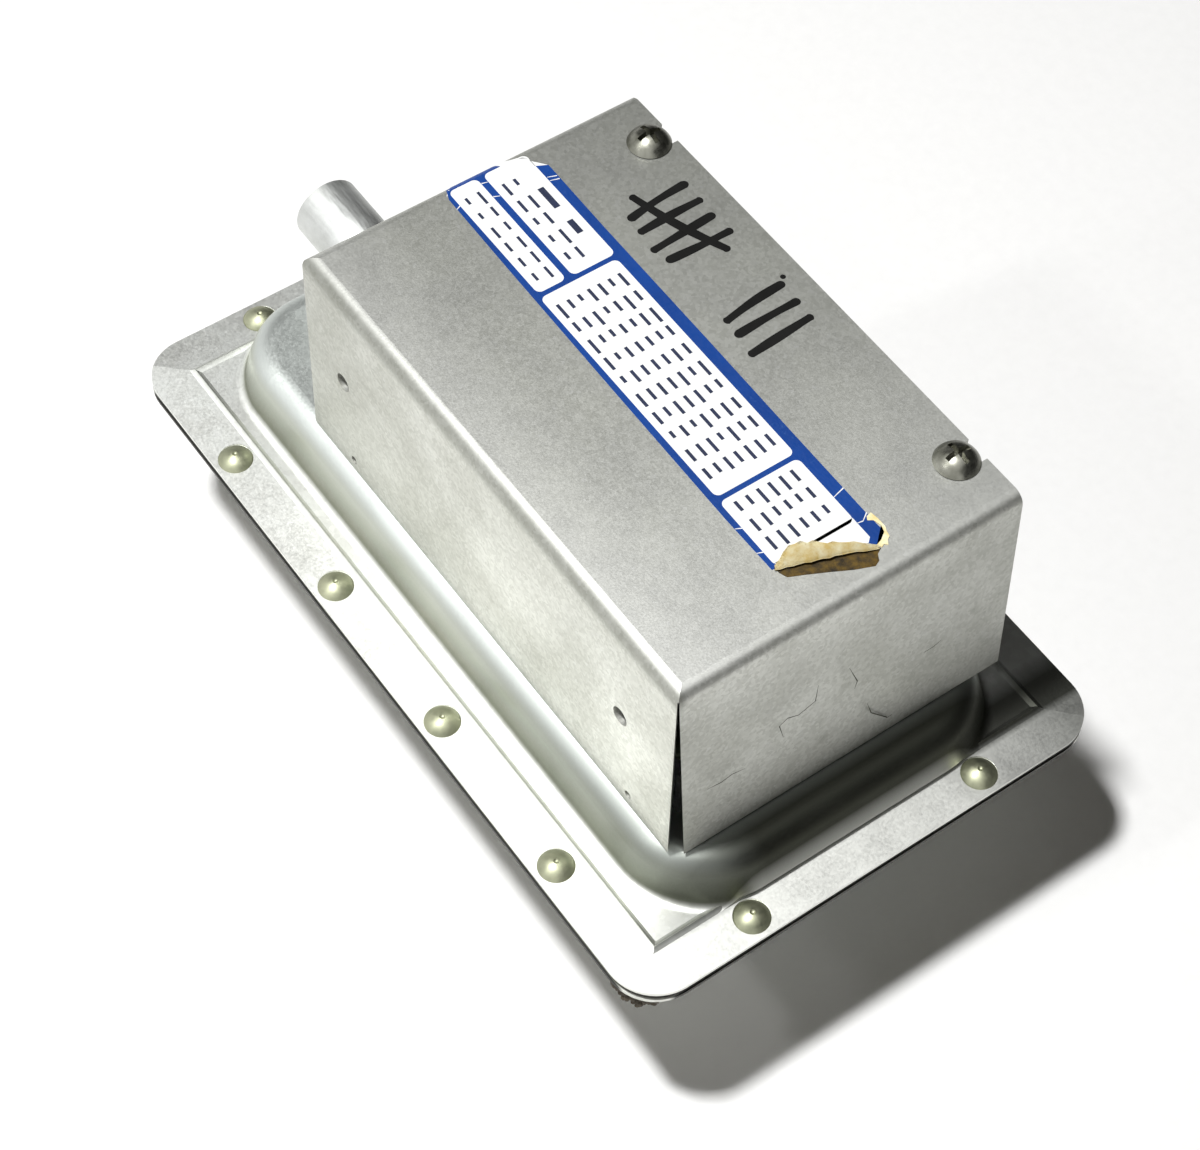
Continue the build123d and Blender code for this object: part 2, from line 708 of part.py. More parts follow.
def lever():
    """Sheet lever: two flanges with the pivot holes, and a flat arm out to the switch."""
    t = lever_sheet
    flange = [(pivot_x - ear_r, pivot_z - ear_r), (lever_flange_end, lever_low_z), (lever_flange_end, lever_top_z),
              (pivot_x - ear_r, pivot_z + ear_r)]
    ear = [(pivot_x - ear_r, pivot_z - ear_r), (pivot_x - ear_r, pivot_z + ear_r)]
    arm_start = pivot_x + pivot_r + t
    body = block((arm_start, lever_tip), (-lever_half, lever_half), (lever_low_z, lever_top_z))
    body = fillet(body.edges().filter_by(Axis.Z).group_by(Axis.X)[-1], lever_half * 0.6)
    for y0, y1 in ((-lever_half, t - lever_half), (lever_half - t, lever_half)):
        body += xz_plate(flange, y0, y1, ear_r * 0.8, ear)
    return body - rod_y(pivot_r + fit_gap, -far / 2, far / 2, pivot_x, pivot_z)


def pivot_pin():
    end = frame_half + frame_sheet + clip_h + 2 * clip_gap + 0.5
    return rod_y(pivot_r, -end, end, pivot_x, pivot_z)


def pivot_washers():
    """Spacers between the lever's flanges and the frame's walls."""
    washers = []
    for s in (-1, 1):
        y = sorted((s * (lever_half + clip_gap), s * (frame_half - clip_gap)))
        ring = rod_y(2 * pivot_r, *y, pivot_x, pivot_z)
        washers.append(ring - rod_y(pivot_r + fit_gap, -far / 2, far / 2, pivot_x, pivot_z))
    return Compound(children=washers)


def pivot_clips():
    """Retaining rings on the two ends of the pin."""
    clip = Rotation(90, 0, 0) * e_clip(pivot_r, 0, 0, 0)
    outer = frame_half + frame_sheet + clip_gap
    return Compound(children=[at(pivot_x, -outer, pivot_z) * clip,
                              at(pivot_x, outer + clip_h, pivot_z) * clip])


def spring_cup():
    cup = disc(cup_r, cup_base + cup_rim, housing_x, 0, lever_top_z)
    inner = spring_r + spring_wire_r + 0.2
    return cup - disc(inner, cup_rim + 1, housing_x, 0, cup_z)


def calibration_spring():
    """Coil spring with its two ends ground flat."""
    pitch = spring_height / spring_turns
    length = spring_height + 2 * spring_wire_r
    path = Helix(pitch, length, spring_r)
    section = Plane(path @ 0, z_dir=path % 0) * Circle(spring_wire_r)
    coil = sweep(section, path=path, is_frenet=True)
    coil = at(housing_x, 0, cup_z - spring_wire_r) * coil
    return coil & disc(2 * spring_r, spring_height, housing_x, 0, cup_z)


def spring_nut():
    """Square nut that the frame keeps from turning; its pointer shows through the frame's slot."""
    half = nut_plate / 2
    body = block((housing_x - half, housing_x + half), (-half, half), (nut_z, nut_z + nut_thickness))
    body = fillet(body.edges().filter_by(Axis.Z), 1.0)
    body += disc(nut_hub_r, nut_hub_h, housing_x, 0, nut_z - nut_hub_h)
    tip = frame_half + frame_sheet + pointer_reach
    body += block((housing_x - pointer_half, housing_x + pointer_half), (-tip, -half + 1),
                  (nut_z, nut_z + nut_thickness))
    return body - disc(adjuster_r + fit_gap, far, housing_x, 0, 0)


def set_point_screw():
    """Slotted adjusting screw, its head above the bridge."""
    low = cup_z + adjuster_end_gap
    head_z = bridge_z + bridge_sheet + slide_gap
    shank = disc(adjuster_r, head_z - low, housing_x, 0, low)
    shank = chamfer(shank.edges().group_by(Axis.Z)[0], adjuster_r * 0.3)
    head = disc(adjuster_head_r, adjuster_head_h, housing_x, 0, head_z)
    head = chamfer(head.edges().group_by(Axis.Z)[-1], 0.4)
    slot_z = head_z + adjuster_head_h - driver_slot_h
    head -= block((housing_x - 2 * adjuster_head_r, housing_x + 2 * adjuster_head_r),
                  (-driver_slot_w / 2, driver_slot_w / 2), (slot_z, slot_z + past))
    return head + shank


def adjuster_clip():
    return e_clip(adjuster_r, housing_x, 0, bridge_z - slide_gap - clip_h)


def switch_hole_points():
    x0, x1 = switch_start + switch_hole_in, switch_start + switch_length - switch_hole_in
    return [(x0, switch_z + switch_hole_in), (x1, switch_z + switch_height - switch_hole_in)]


def switch_outline(y0, y1):
    end = switch_start + switch_length
    body = block((switch_start, end), (y0, y1), (switch_z, switch_z + switch_height))
    body = fillet(body.edges().filter_by(Axis.Y), 0.8)
    for x, z in switch_hole_points():
        body -= rod_y(switch_screw_r + fit_gap, y0 - 1, y1 + 1, x, z)
    return body


def switch_case():
    """Moulded case with a cavity for the blade, a bore for the plunger and slots for the terminals."""
    half = switch_thickness / 2
    mouth = switch_cover_t - half
    body = switch_outline(mouth, half)
    start = switch_start + 2 * switch_hole_in
    end = switch_start + switch_length - switch_wall
    cavity = block((start, end), (mouth - 1, half - switch_wall),
                   (switch_z + switch_wall, switch_z + switch_height - switch_wall))
    x, z = switch_hole_points()[1]
    cavity -= rod_y(2 * switch_screw_r, -far / 2, far / 2, x, z)
    body -= cavity
    body -= disc(plunger_r + fit_gap, 2 * switch_wall, plunger_x, 0, switch_z - 1)
    for x in terminal_x:
        body -= terminal_blank(x, fit_gap)
    return body


def switch_cover():
    return switch_outline(-switch_thickness / 2, switch_cover_t - switch_thickness / 2)


def switch_plunger():
    """Button with a flange inside the case that keeps it in."""
    low = lever_top_z + contact_gap
    top = switch_z + switch_wall + 0.2
    pin = disc(plunger_r, top - low, plunger_x, 0, low)
    pin = fillet(pin.edges().group_by(Axis.Z)[0], plunger_r * 0.6)
    return pin + disc(plunger_r + 0.5, 0.8, plunger_x, 0, top)


def snap_blade():
    """Moving contact blade that the plunger carries."""
    z = switch_z + switch_wall + blade_rise
    start = switch_start + 2 * switch_hole_in + 0.4
    end = switch_start + switch_length - switch_wall - blade_end_gap
    blade = block((start, end), (-blade_half, blade_half), (z, z + blade_t))
    blade += disc(contact_r, contact_h, end - blade_half, 0, z + blade_t)
    return blade - block((blade_slot_start, end - blade_slot_gap), (-blade_slot_w / 2, blade_slot_w / 2),
                         (z - blade_t, z + 2 * blade_t))


def terminal_blank(x, gap=0.0):
    """One terminal strip, with its own clearance where it is a cut in the case."""
    top = switch_z + switch_height
    half = terminal_w / 2 + gap
    return block((x - half, x + half), (-gap, terminal_t + gap), (top - 3.0, top + terminal_rise))


def terminal_screw_z():
    return switch_z + switch_height + terminal_rise - terminal_w / 2 - 0.8


def switch_terminals():
    strips = []
    for x in terminal_x:
        strip = terminal_blank(x)
        strip = chamfer(strip.edges().filter_by(Axis.Y).group_by(Axis.Z)[-1], 1.0)
        strips.append(strip - rod_y(terminal_screw_r + fit_gap, -1, 2, x, terminal_screw_z()))
    return Compound(children=strips)


def terminal_washers():
    """Cupped washers that hold a wire's end."""
    rings = []
    for x in terminal_x:
        ring = rod_y(terminal_washer_r, -terminal_washer_t, 0, x, terminal_screw_z())
        ring -= rod_y(terminal_screw_r + fit_gap, -2, 1, x, terminal_screw_z())
        rings.append(ring)
    return Compound(children=rings)


def cheese_screw(r, head_r, head_h, length):
    """Slotted screw standing on z = 0, its shank below."""
    head = disc(head_r, head_h, 0, 0, 0)
    head = fillet(head.edges().group_by(Axis.Z)[-1], head_h * 0.3)
    head -= block((-2 * head_r, 2 * head_r), (-0.4, 0.4), (head_h / 2, head_h + 1))
    return head + disc(r, length, 0, 0, -length)


def terminal_screws():
    screw = Rotation(90, 0, 0) * cheese_screw(terminal_screw_r, terminal_head_r, terminal_head_h,
                                              terminal_washer_t + terminal_screw_end)
    return Compound(children=[at(x, -terminal_washer_t, terminal_screw_z()) * screw for x in terminal_x])


def switch_screws():
    length = switch_thickness / 2 + frame_half + frame_sheet + 1.0
    screw = Rotation(90, 0, 0) * cheese_screw(switch_screw_r, switch_screw_head_r, switch_screw_head_h, length)
    return Compound(children=[at(x, -switch_thickness / 2, z) * screw for x, z in switch_hole_points()])


def switch_insulator():
    """Fibre sheet between the switch and the frame's wall."""
    sheet_form = block((switch_start - 0.8, switch_start + switch_length + 0.8),
                       (switch_thickness / 2, frame_half), (switch_z - 0.8, switch_z + switch_height + 0.8))
    for x, z in switch_hole_points():
        sheet_form -= rod_y(switch_screw_r + fit_gap, 0, far / 2, x, z)
    return sheet_form


def main():
    os.makedirs("parts", exist_ok=True)
    tube = sample_tube()
    seal = tube_seal()
    nodes = {
        "front_housing": front_housing(),
        "rear_housing": rear_housing(),
        "gasket": gasket(),
        "diaphragm": diaphragm(),
        "front_plate": diaphragm_plate(front_plate_margin, dish_z + diaphragm_thickness),
        "rear_plate": diaphragm_plate(rear_plate_margin, dish_z - plate_thickness),
        "stem": stem(),
        "stem_clip": e_clip(stem_r, housing_x, 0, floor_z + bushing_flange_h + clip_gap),
        "stem_bushing": stem_bushing(),
        "housing_rivets": housing_rivets(),
        "mounting_bracket": mounting_bracket(),
        "mounting_nuts": mounting_nuts(),
        "bracket_rivets": rivet_group(bracket_rivet_points(), rear_pan_z + sheet, standoff - bracket_sheet),
        "front_tube": tube,
        "front_tube_seal": seal,
        "rear_tube": to_rear(tube),
        "rear_tube_seal": to_rear(seal),
        "cover": cover(),
        "cover_screws": cover_screws(),
        "cover_carrier": cover_carrier(),
        "carrier_rivets": rivet_group(carrier_rivet_points(), base_z, front_pan_z - sheet),
        "ground_screw": ground_screw(),
        "mechanism_frame": mechanism_frame(),
        "frame_rivets": rivet_group(frame_rivet_points(), floor_z, front_pan_z - sheet),
        "adjuster_bridge": adjuster_bridge(),
        "lever": lever(),
        "pivot_pin": pivot_pin(),
        "pivot_washers": pivot_washers(),
        "pivot_clips": pivot_clips(),
        "spring_cup": spring_cup(),
        "calibration_spring": calibration_spring(),
        "spring_nut": spring_nut(),
        "set_point_screw": set_point_screw(),
        "adjuster_clip": adjuster_clip(),
        "switch_case": switch_case(),
        "switch_cover": switch_cover(),
        "switch_plunger": switch_plunger(),
        "snap_blade": snap_blade(),
        "switch_terminals": switch_terminals(),
        "terminal_washers": terminal_washers(),
        "terminal_screws": terminal_screws(),
        "switch_screws": switch_screws(),
        "switch_insulator": switch_insulator(),
    }
    for name, solid in nodes.items():
        export_step(solid, f"parts/{name}.step")


main()
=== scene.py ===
"""Finishes, small details and studio for the air pressure switch.

The switch lies on its mounting feet on a pale table. Every size is in metres in the part's own
frame; MM turns a millimetre value into one.
"""
import logging
import math
from dataclasses import dataclass, field
from enum import Enum
from typing import Callable, Optional, Sequence

import bmesh
import bpy
from mathutils import Matrix, Vector


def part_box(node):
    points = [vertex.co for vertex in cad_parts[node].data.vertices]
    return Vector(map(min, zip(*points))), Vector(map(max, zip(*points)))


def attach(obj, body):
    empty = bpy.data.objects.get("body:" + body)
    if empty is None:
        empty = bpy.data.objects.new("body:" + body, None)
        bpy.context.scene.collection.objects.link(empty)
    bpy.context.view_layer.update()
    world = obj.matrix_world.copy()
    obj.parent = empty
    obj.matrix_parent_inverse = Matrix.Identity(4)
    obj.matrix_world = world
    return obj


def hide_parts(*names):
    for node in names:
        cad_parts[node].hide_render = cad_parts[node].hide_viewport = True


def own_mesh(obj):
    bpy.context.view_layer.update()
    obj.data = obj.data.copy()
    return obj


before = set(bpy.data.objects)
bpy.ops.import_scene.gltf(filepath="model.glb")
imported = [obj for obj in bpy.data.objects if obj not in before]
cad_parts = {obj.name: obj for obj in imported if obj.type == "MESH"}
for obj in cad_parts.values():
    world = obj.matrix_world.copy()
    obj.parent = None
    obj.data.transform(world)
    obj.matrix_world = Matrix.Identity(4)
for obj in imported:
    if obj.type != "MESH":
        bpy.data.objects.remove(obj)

MM = 0.001
log = logging.getLogger("pressure_switch")

Point = tuple[float, float]
Place = tuple[float, float, float]
Outline = tuple[Point, ...]
Inputs = Optional[dict]
Socket = bpy.types.NodeSocket

# Ranges of a pattern's value, about 0.5 on average, over which a tone or roughness changes.
WIDE: Point = (0.3, 0.7)
SOFT: Point = (0.35, 0.65)
CRISP: Point = (0.38, 0.62)
RARE: Point = (0.63, 0.74)
WHOLE: Point = (0.0, 1.0)
# How far a finish's roughness goes below and above its middle.
EVEN: Point = (0.07, 0.07)
UNEVEN: Point = (0.06, 0.08)


def linear(colour: str) -> tuple[float, float, float, float]:
    """Turn an sRGB hex colour into linear RGBA.

    Args:
        colour: six hex digits after a hash sign.

    Returns:
        The same colour as Blender's sockets want it.
    """
    parts = [int(colour[i:i + 2], 16) / 255 for i in (1, 3, 5)]
    return (*[c / 12.92 if c <= 0.04045 else ((c + 0.055) / 1.055) ** 2.4 for c in parts], 1.0)


def per_metre(size_mm: float) -> float:
    """Noise scale whose features are size_mm across."""
    return 1 / (size_mm * MM)


def around(middle: float, swing: Point) -> Point:
    """The lowest and highest of a value that swings about its middle."""
    return middle - swing[0], middle + swing[1]


def add_node(tree: bpy.types.NodeTree, kind: str, inputs: Inputs = None,
             **settings) -> bpy.types.Node:
    """Add one node to a tree, with its settings, values and links.

    Args:
        tree: shader or geometry tree.
        kind: Blender's name of the node type.
        inputs: socket name or index to a value, a hex colour or another node's output.
        settings: attributes of the node.

    Returns:
        The new node.
    """
    node = tree.nodes.new(kind)
    for key, value in settings.items():
        setattr(node, key, value)
    for key, value in (inputs or {}).items():
        if isinstance(value, Socket):
            tree.links.new(value, node.inputs[key])
        else:
            node.inputs[key].default_value = linear(value) if isinstance(value, str) else value
    return node


def put(name: str, data: bpy.types.ID) -> bpy.types.Object:
    """Place new data in the scene as an object at the origin."""
    made = bpy.data.objects.new(name, data)
    bpy.context.scene.collection.objects.link(made)
    return made


def carry(made: bpy.types.Object, body: str, slot: str, smooth: bool) -> bpy.types.Object:
    """Make a finished piece ride on its body and report it.

    Args:
        made: the piece.
        body: CAD body that carries it.
        slot: the record's material slot; not used.
        smooth: whether its faces are shaded smooth.

    Returns:
        The same piece.
    """
    for face in made.data.polygons:
        face.use_smooth = smooth
    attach(made, body)
    log.info("piece %s on %s: %d faces", made.name, body, len(made.data.polygons))
    return made


class Surface:
    """Shader tree of one finish, with the steps that most finishes share."""

    def __init__(self, name: str) -> None:
        """Start an empty material.

        Args:
            name: what the real surface is.
        """
        self.material = bpy.data.materials.new(name)
        self.material.use_nodes = True
        self.tree = self.material.node_tree
        self.tree.nodes.clear()
        self.place = self.add("ShaderNodeTexCoord").outputs["Object"]

    def add(self, kind: str, inputs: Inputs = None, **settings) -> bpy.types.Node:
        """Add a node to this finish."""
        return add_node(self.tree, kind, inputs, **settings)

    def patterns(self, *sizes: Place, squeeze: Place = (1.0, 1.0, 1.0)) -> list[Socket]:
        """Cloudy patterns whose features have a real size.

        Args:
            sizes: for each, a feature's size in millimetres, the finer octaves and their strength.
            squeeze: factors on the axes; one below 1 draws the features out along it.

        Returns:
            Their values, each about 0.5 on average.
        """
        place = self.add("ShaderNodeMapping", {"Vector": self.place, "Scale": squeeze}).outputs[0]
        return [self.add("ShaderNodeTexNoise", {
            "Vector": place, "Scale": per_metre(size), "Detail": octaves,
            "Roughness": strength}).outputs[0] for size, octaves, strength in sizes]

    def tinted(self, colour: object, pattern: Socket, fade: Point, tone: str,
               share: float = 1.0) -> Socket:
        """Lay a tone over a colour where a pattern is high.

        Args:
            colour: what lies under it, a hex colour or a socket.
            pattern: value that says where.
            fade: values of the pattern where the tone begins and where it is full.
            tone: the tone, as a hex colour.
            share: how much of the tone shows where it is full.

        Returns:
            The new colour.
        """
        amount = self.add("ShaderNodeMapRange", {0: pattern, 1: fade[0], 2: fade[1], 4: share})
        laid = self.add("ShaderNodeMix", {0: amount.outputs[0], 6: colour, 7: tone},
                        data_type="RGBA")
        return laid.outputs[2]

    def finish(self, colour: Socket, rough: object, relief: Optional[Socket] = None,
               depth_mm: float = 0.02, bump: float = 0.5, **values) -> bpy.types.Material:
        """Close the tree with the main shader.

        Args:
            colour: its colour.
            rough: its roughness, or the two values where the relief is low and high.
            relief: pattern that raises the surface.
            depth_mm: how high a relief of 1 stands.
            bump: share of the relief that shows.
            values: the shader's other sockets, with _ for a space in their names.

        Returns:
            The finished material.
        """
        inputs = {key.replace("_", " "): value for key, value in values.items()}
        if isinstance(rough, tuple):
            rough = self.add("ShaderNodeMapRange", {0: relief, 1: WIDE[0], 2: WIDE[1], 3: rough[0],
                                                    4: rough[1]}).outputs[0]
        if relief is not None:
            inputs["Normal"] = self.add("ShaderNodeBump", {
                "Height": relief, "Distance": depth_mm * MM, "Strength": bump}).outputs[0]
        shader = self.add("ShaderNodeBsdfPrincipled",
                          {"Base Color": colour, "Roughness": rough, **inputs})
        self.add("ShaderNodeOutputMaterial", {"Surface": shader.outputs[0]})
        return self.material


@dataclass(frozen=True)
class PaintedLightBand:
    """Band of painted shade or painted light on a sheet: it fades in between two places along one
    axis.
    """

    axis: int
    start_mm: float
    end_mm: float
    share: float
    tone: str
    across: Optional[tuple[int, float, float]] = None

    def amount(self, s: Surface, axes: Sequence[Socket]) -> Socket:
        """Value that is 1 inside the band.

        Args:
            s: the finish.
            axes: the piece's coordinates.

        Returns:
            The value, from 0 to 1.
        """
        value: object = 1.0
        for edge in ((self.axis, self.start_mm, self.end_mm), self.across):
            if edge:
                axis, start, end = edge
                fade = s.add("ShaderNodeMapRange", {0: axes[axis], 1: start * MM, 2: end * MM})
                value = s.add("ShaderNodeMath", {0: value, 1: fade.outputs[0]},
                              operation="MULTIPLY").outputs[0]
        return value


@dataclass(frozen=True)
class ShadowAndDirtRim:
    """Edge all round a sheet, past half its length and half its width, painted dark: partly dirt,
    partly painted shadow.
    """

    middle_mm: float
    half_x_mm: float
    half_y_mm: float
    fade_mm: float = 0.3
    share: float = 0.94
    tone: str = "#14120E"

    def reach(self, s: Surface, axes: Sequence[Socket]) -> Socket:
        """How far a point lies past the start of the rim.

        Args:
            s: the finish.
            axes: the piece's coordinates.

        Returns:
            The distance in metres.
        """
        past = []
        for axis, middle, half in ((0, self.middle_mm, self.half_x_mm), (1, 0.0, self.half_y_mm)):
            value: Socket = axes[axis]
            for operation, amount in (("SUBTRACT", middle), ("ABSOLUTE", 0.0), ("SUBTRACT", half)):
                value = s.add("ShaderNodeMath", {0: value, 1: amount * MM},
                              operation=operation).outputs[0]
            past.append(value)
        return s.add("ShaderNodeMath", {0: past[0], 1: past[1]}, operation="MAXIMUM").outputs[0]


@dataclass(frozen=True)
class ZincSheet:
    """Zinc-plated sheet steel: fine dull grain with soft clouds, fingermarks and bright specks."""

    name: str
    colour: str
    cloud: str
    grime: str = "#77786B"
    glint_tone: str = "#F6F7F4"
    flake: float = 0.30
    flake_mm: float = 0.6
    warp_mm: float = 1.5
    warp: float = 0.8 * MM
    grain_mm: float = 0.35
    grain_depth_mm: float = 0.03
    cloud_mm: float = 14.0
    smear_share: float = 0.45
    roughness: float = 0.45
    cloud_swing: float = 0.04
    grain_swing: float = 0.05
    bump: float = 0.42
    grime_share: float = 0.35
    glint: float = 0.55
    metallic: float = 1.0
    painted_light: tuple[PaintedLightBand, ...] = ()
    rim: Optional[ShadowAndDirtRim] = None

    def material(self) -> bpy.types.Material:
        """Build the finish."""
        s = Surface(self.name)
        # Plating grain is about 0.05 mm; it is drawn coarser so that it shows.
        clouds, grain, smear = s.patterns((self.cloud_mm, 4.0, 0.6), (self.grain_mm, 2.0, 0.7),
                                          (self.cloud_mm * self.smear_share, 5.0, 0.65))
        # Zinc crystals a little under a millimetre across, each its own shade.
        drift = s.add("ShaderNodeTexNoise", {"Vector": s.place, "Scale": per_metre(self.warp_mm)})
        bent = s.add("ShaderNodeVectorMath", {0: drift.outputs[1], 1: (self.warp,) * 3,
                                              2: s.place}, operation="MULTIPLY_ADD")
        crystals = s.add("ShaderNodeTexVoronoi", {"Vector": bent.outputs[0],
                                                  "Scale": per_metre(self.flake_mm)})
        shade = s.add("ShaderNodeSeparateColor", {0: crystals.outputs["Color"]}).outputs[0]
        axes = s.add("ShaderNodeSeparateXYZ", {0: s.place}).outputs
        tones = [(clouds, CRISP, self.cloud, 1.0), (shade, WHOLE, self.grime, self.flake),
                 (shade, (0.96, 1.0), self.glint_tone, self.glint),
                 (smear, (0.62, 0.78), self.grime, self.grime_share)]
        # Bands of painted shade and painted light, placed by position on the piece.
        tones += [(band.amount(s, axes), WHOLE, band.tone, band.share) for band in self.painted_light]
        # A rim painted dark, partly for dirt and partly as painted shadow.
        if self.rim:
            tones.append((self.rim.reach(s, axes), (0.0, self.rim.fade_mm * MM), self.rim.tone,
                          self.rim.share))
        colour: object = self.colour
        for pattern, fade, tone, share in tones:
            colour = s.tinted(colour, pattern, fade, tone, share)
        swings = [s.add("ShaderNodeMapRange", {
            0: pattern, 1: fade[0], 2: fade[1], 3: middle - swing, 4: middle + swing}).outputs[0]
            for pattern, fade, middle, swing in (
                (clouds, SOFT, self.roughness, self.cloud_swing),
                (grain, WIDE, 0.0, self.grain_swing))]
        rough = s.add("ShaderNodeMath", {0: swings[0], 1: swings[1]}, operation="ADD").outputs[0]
        return s.finish(colour, rough, grain, self.grain_depth_mm, self.bump,
                        Metallic=self.metallic)


@dataclass(frozen=True)
class TurnedMetal:
    """Solid metal with fine tool or drawing marks along one axis."""

    name: str
    colour: str
    tint: str
    roughness: float
    along: Place = (1.0, 1.0, 1.0)
    mark_mm: float = 0.4
    bump: float = 0.25
    patch_mm: float = 5.0

    def material(self) -> bpy.types.Material:
        """Build the finish."""
        s = Surface(self.name)
        marks = s.patterns((self.mark_mm, 3.0, 0.6), squeeze=self.along)[0]
        patches = s.patterns((self.patch_mm, 3.0, 0.6))[0]
        colour = s.tinted(self.colour, patches, SOFT, self.tint)
        return s.finish(colour, around(self.roughness, UNEVEN), marks, bump=self.bump,
                        Metallic=1.0)


@dataclass(frozen=True)
class Moulding:
    """Moulded or cut non-metal: a faint orange-peel skin and slight shade changes."""

    name: str
    colour: str
    tint: str
    roughness: float
    skin_mm: float
    bump: float
    gloss: float = 0.5
    skin_depth_mm: float = 0.03
    patch_mm: float = 7.0

    def material(self) -> bpy.types.Material:
        """Build the finish."""
        s = Surface(self.name)
        skin, patches = s.patterns((self.skin_mm, 3.0, 0.6), (self.patch_mm, 3.0, 0.6))
        colour = s.tinted(self.colour, patches, SOFT, self.tint)
        return s.finish(colour, around(self.roughness, EVEN), skin, self.skin_depth_mm, self.bump,
                        Specular_IOR_Level=self.gloss)


@dataclass(frozen=True)
class PrintedPaper:
    """Thin vinyl-faced paper, printed or bare, with faint fibres and handling marks."""

    name: str
    colour: str
    tint: str
    worn: str
    worn_share: float
    roughness: float = 0.45
    patch_mm: float = 9.0
    fibre_mm: float = 0.4
    along: Place = (0.4, 1.0, 1.0)
    bump: float = 0.3

    def material(self) -> bpy.types.Material:
        """Build the finish."""
        s = Surface(self.name)
        fibre = s.patterns((self.fibre_mm, 3.0, 0.6), squeeze=self.along)[0]
        patches, scuff = s.patterns((self.patch_mm, 4.0, 0.6), (self.patch_mm / 4, 5.0, 0.7))
        colour = s.tinted(self.colour, patches, SOFT, self.tint)
        colour = s.tinted(colour, scuff, RARE, self.worn, self.worn_share)
        return s.finish(colour, around(self.roughness, UNEVEN), fibre, bump=self.bump)


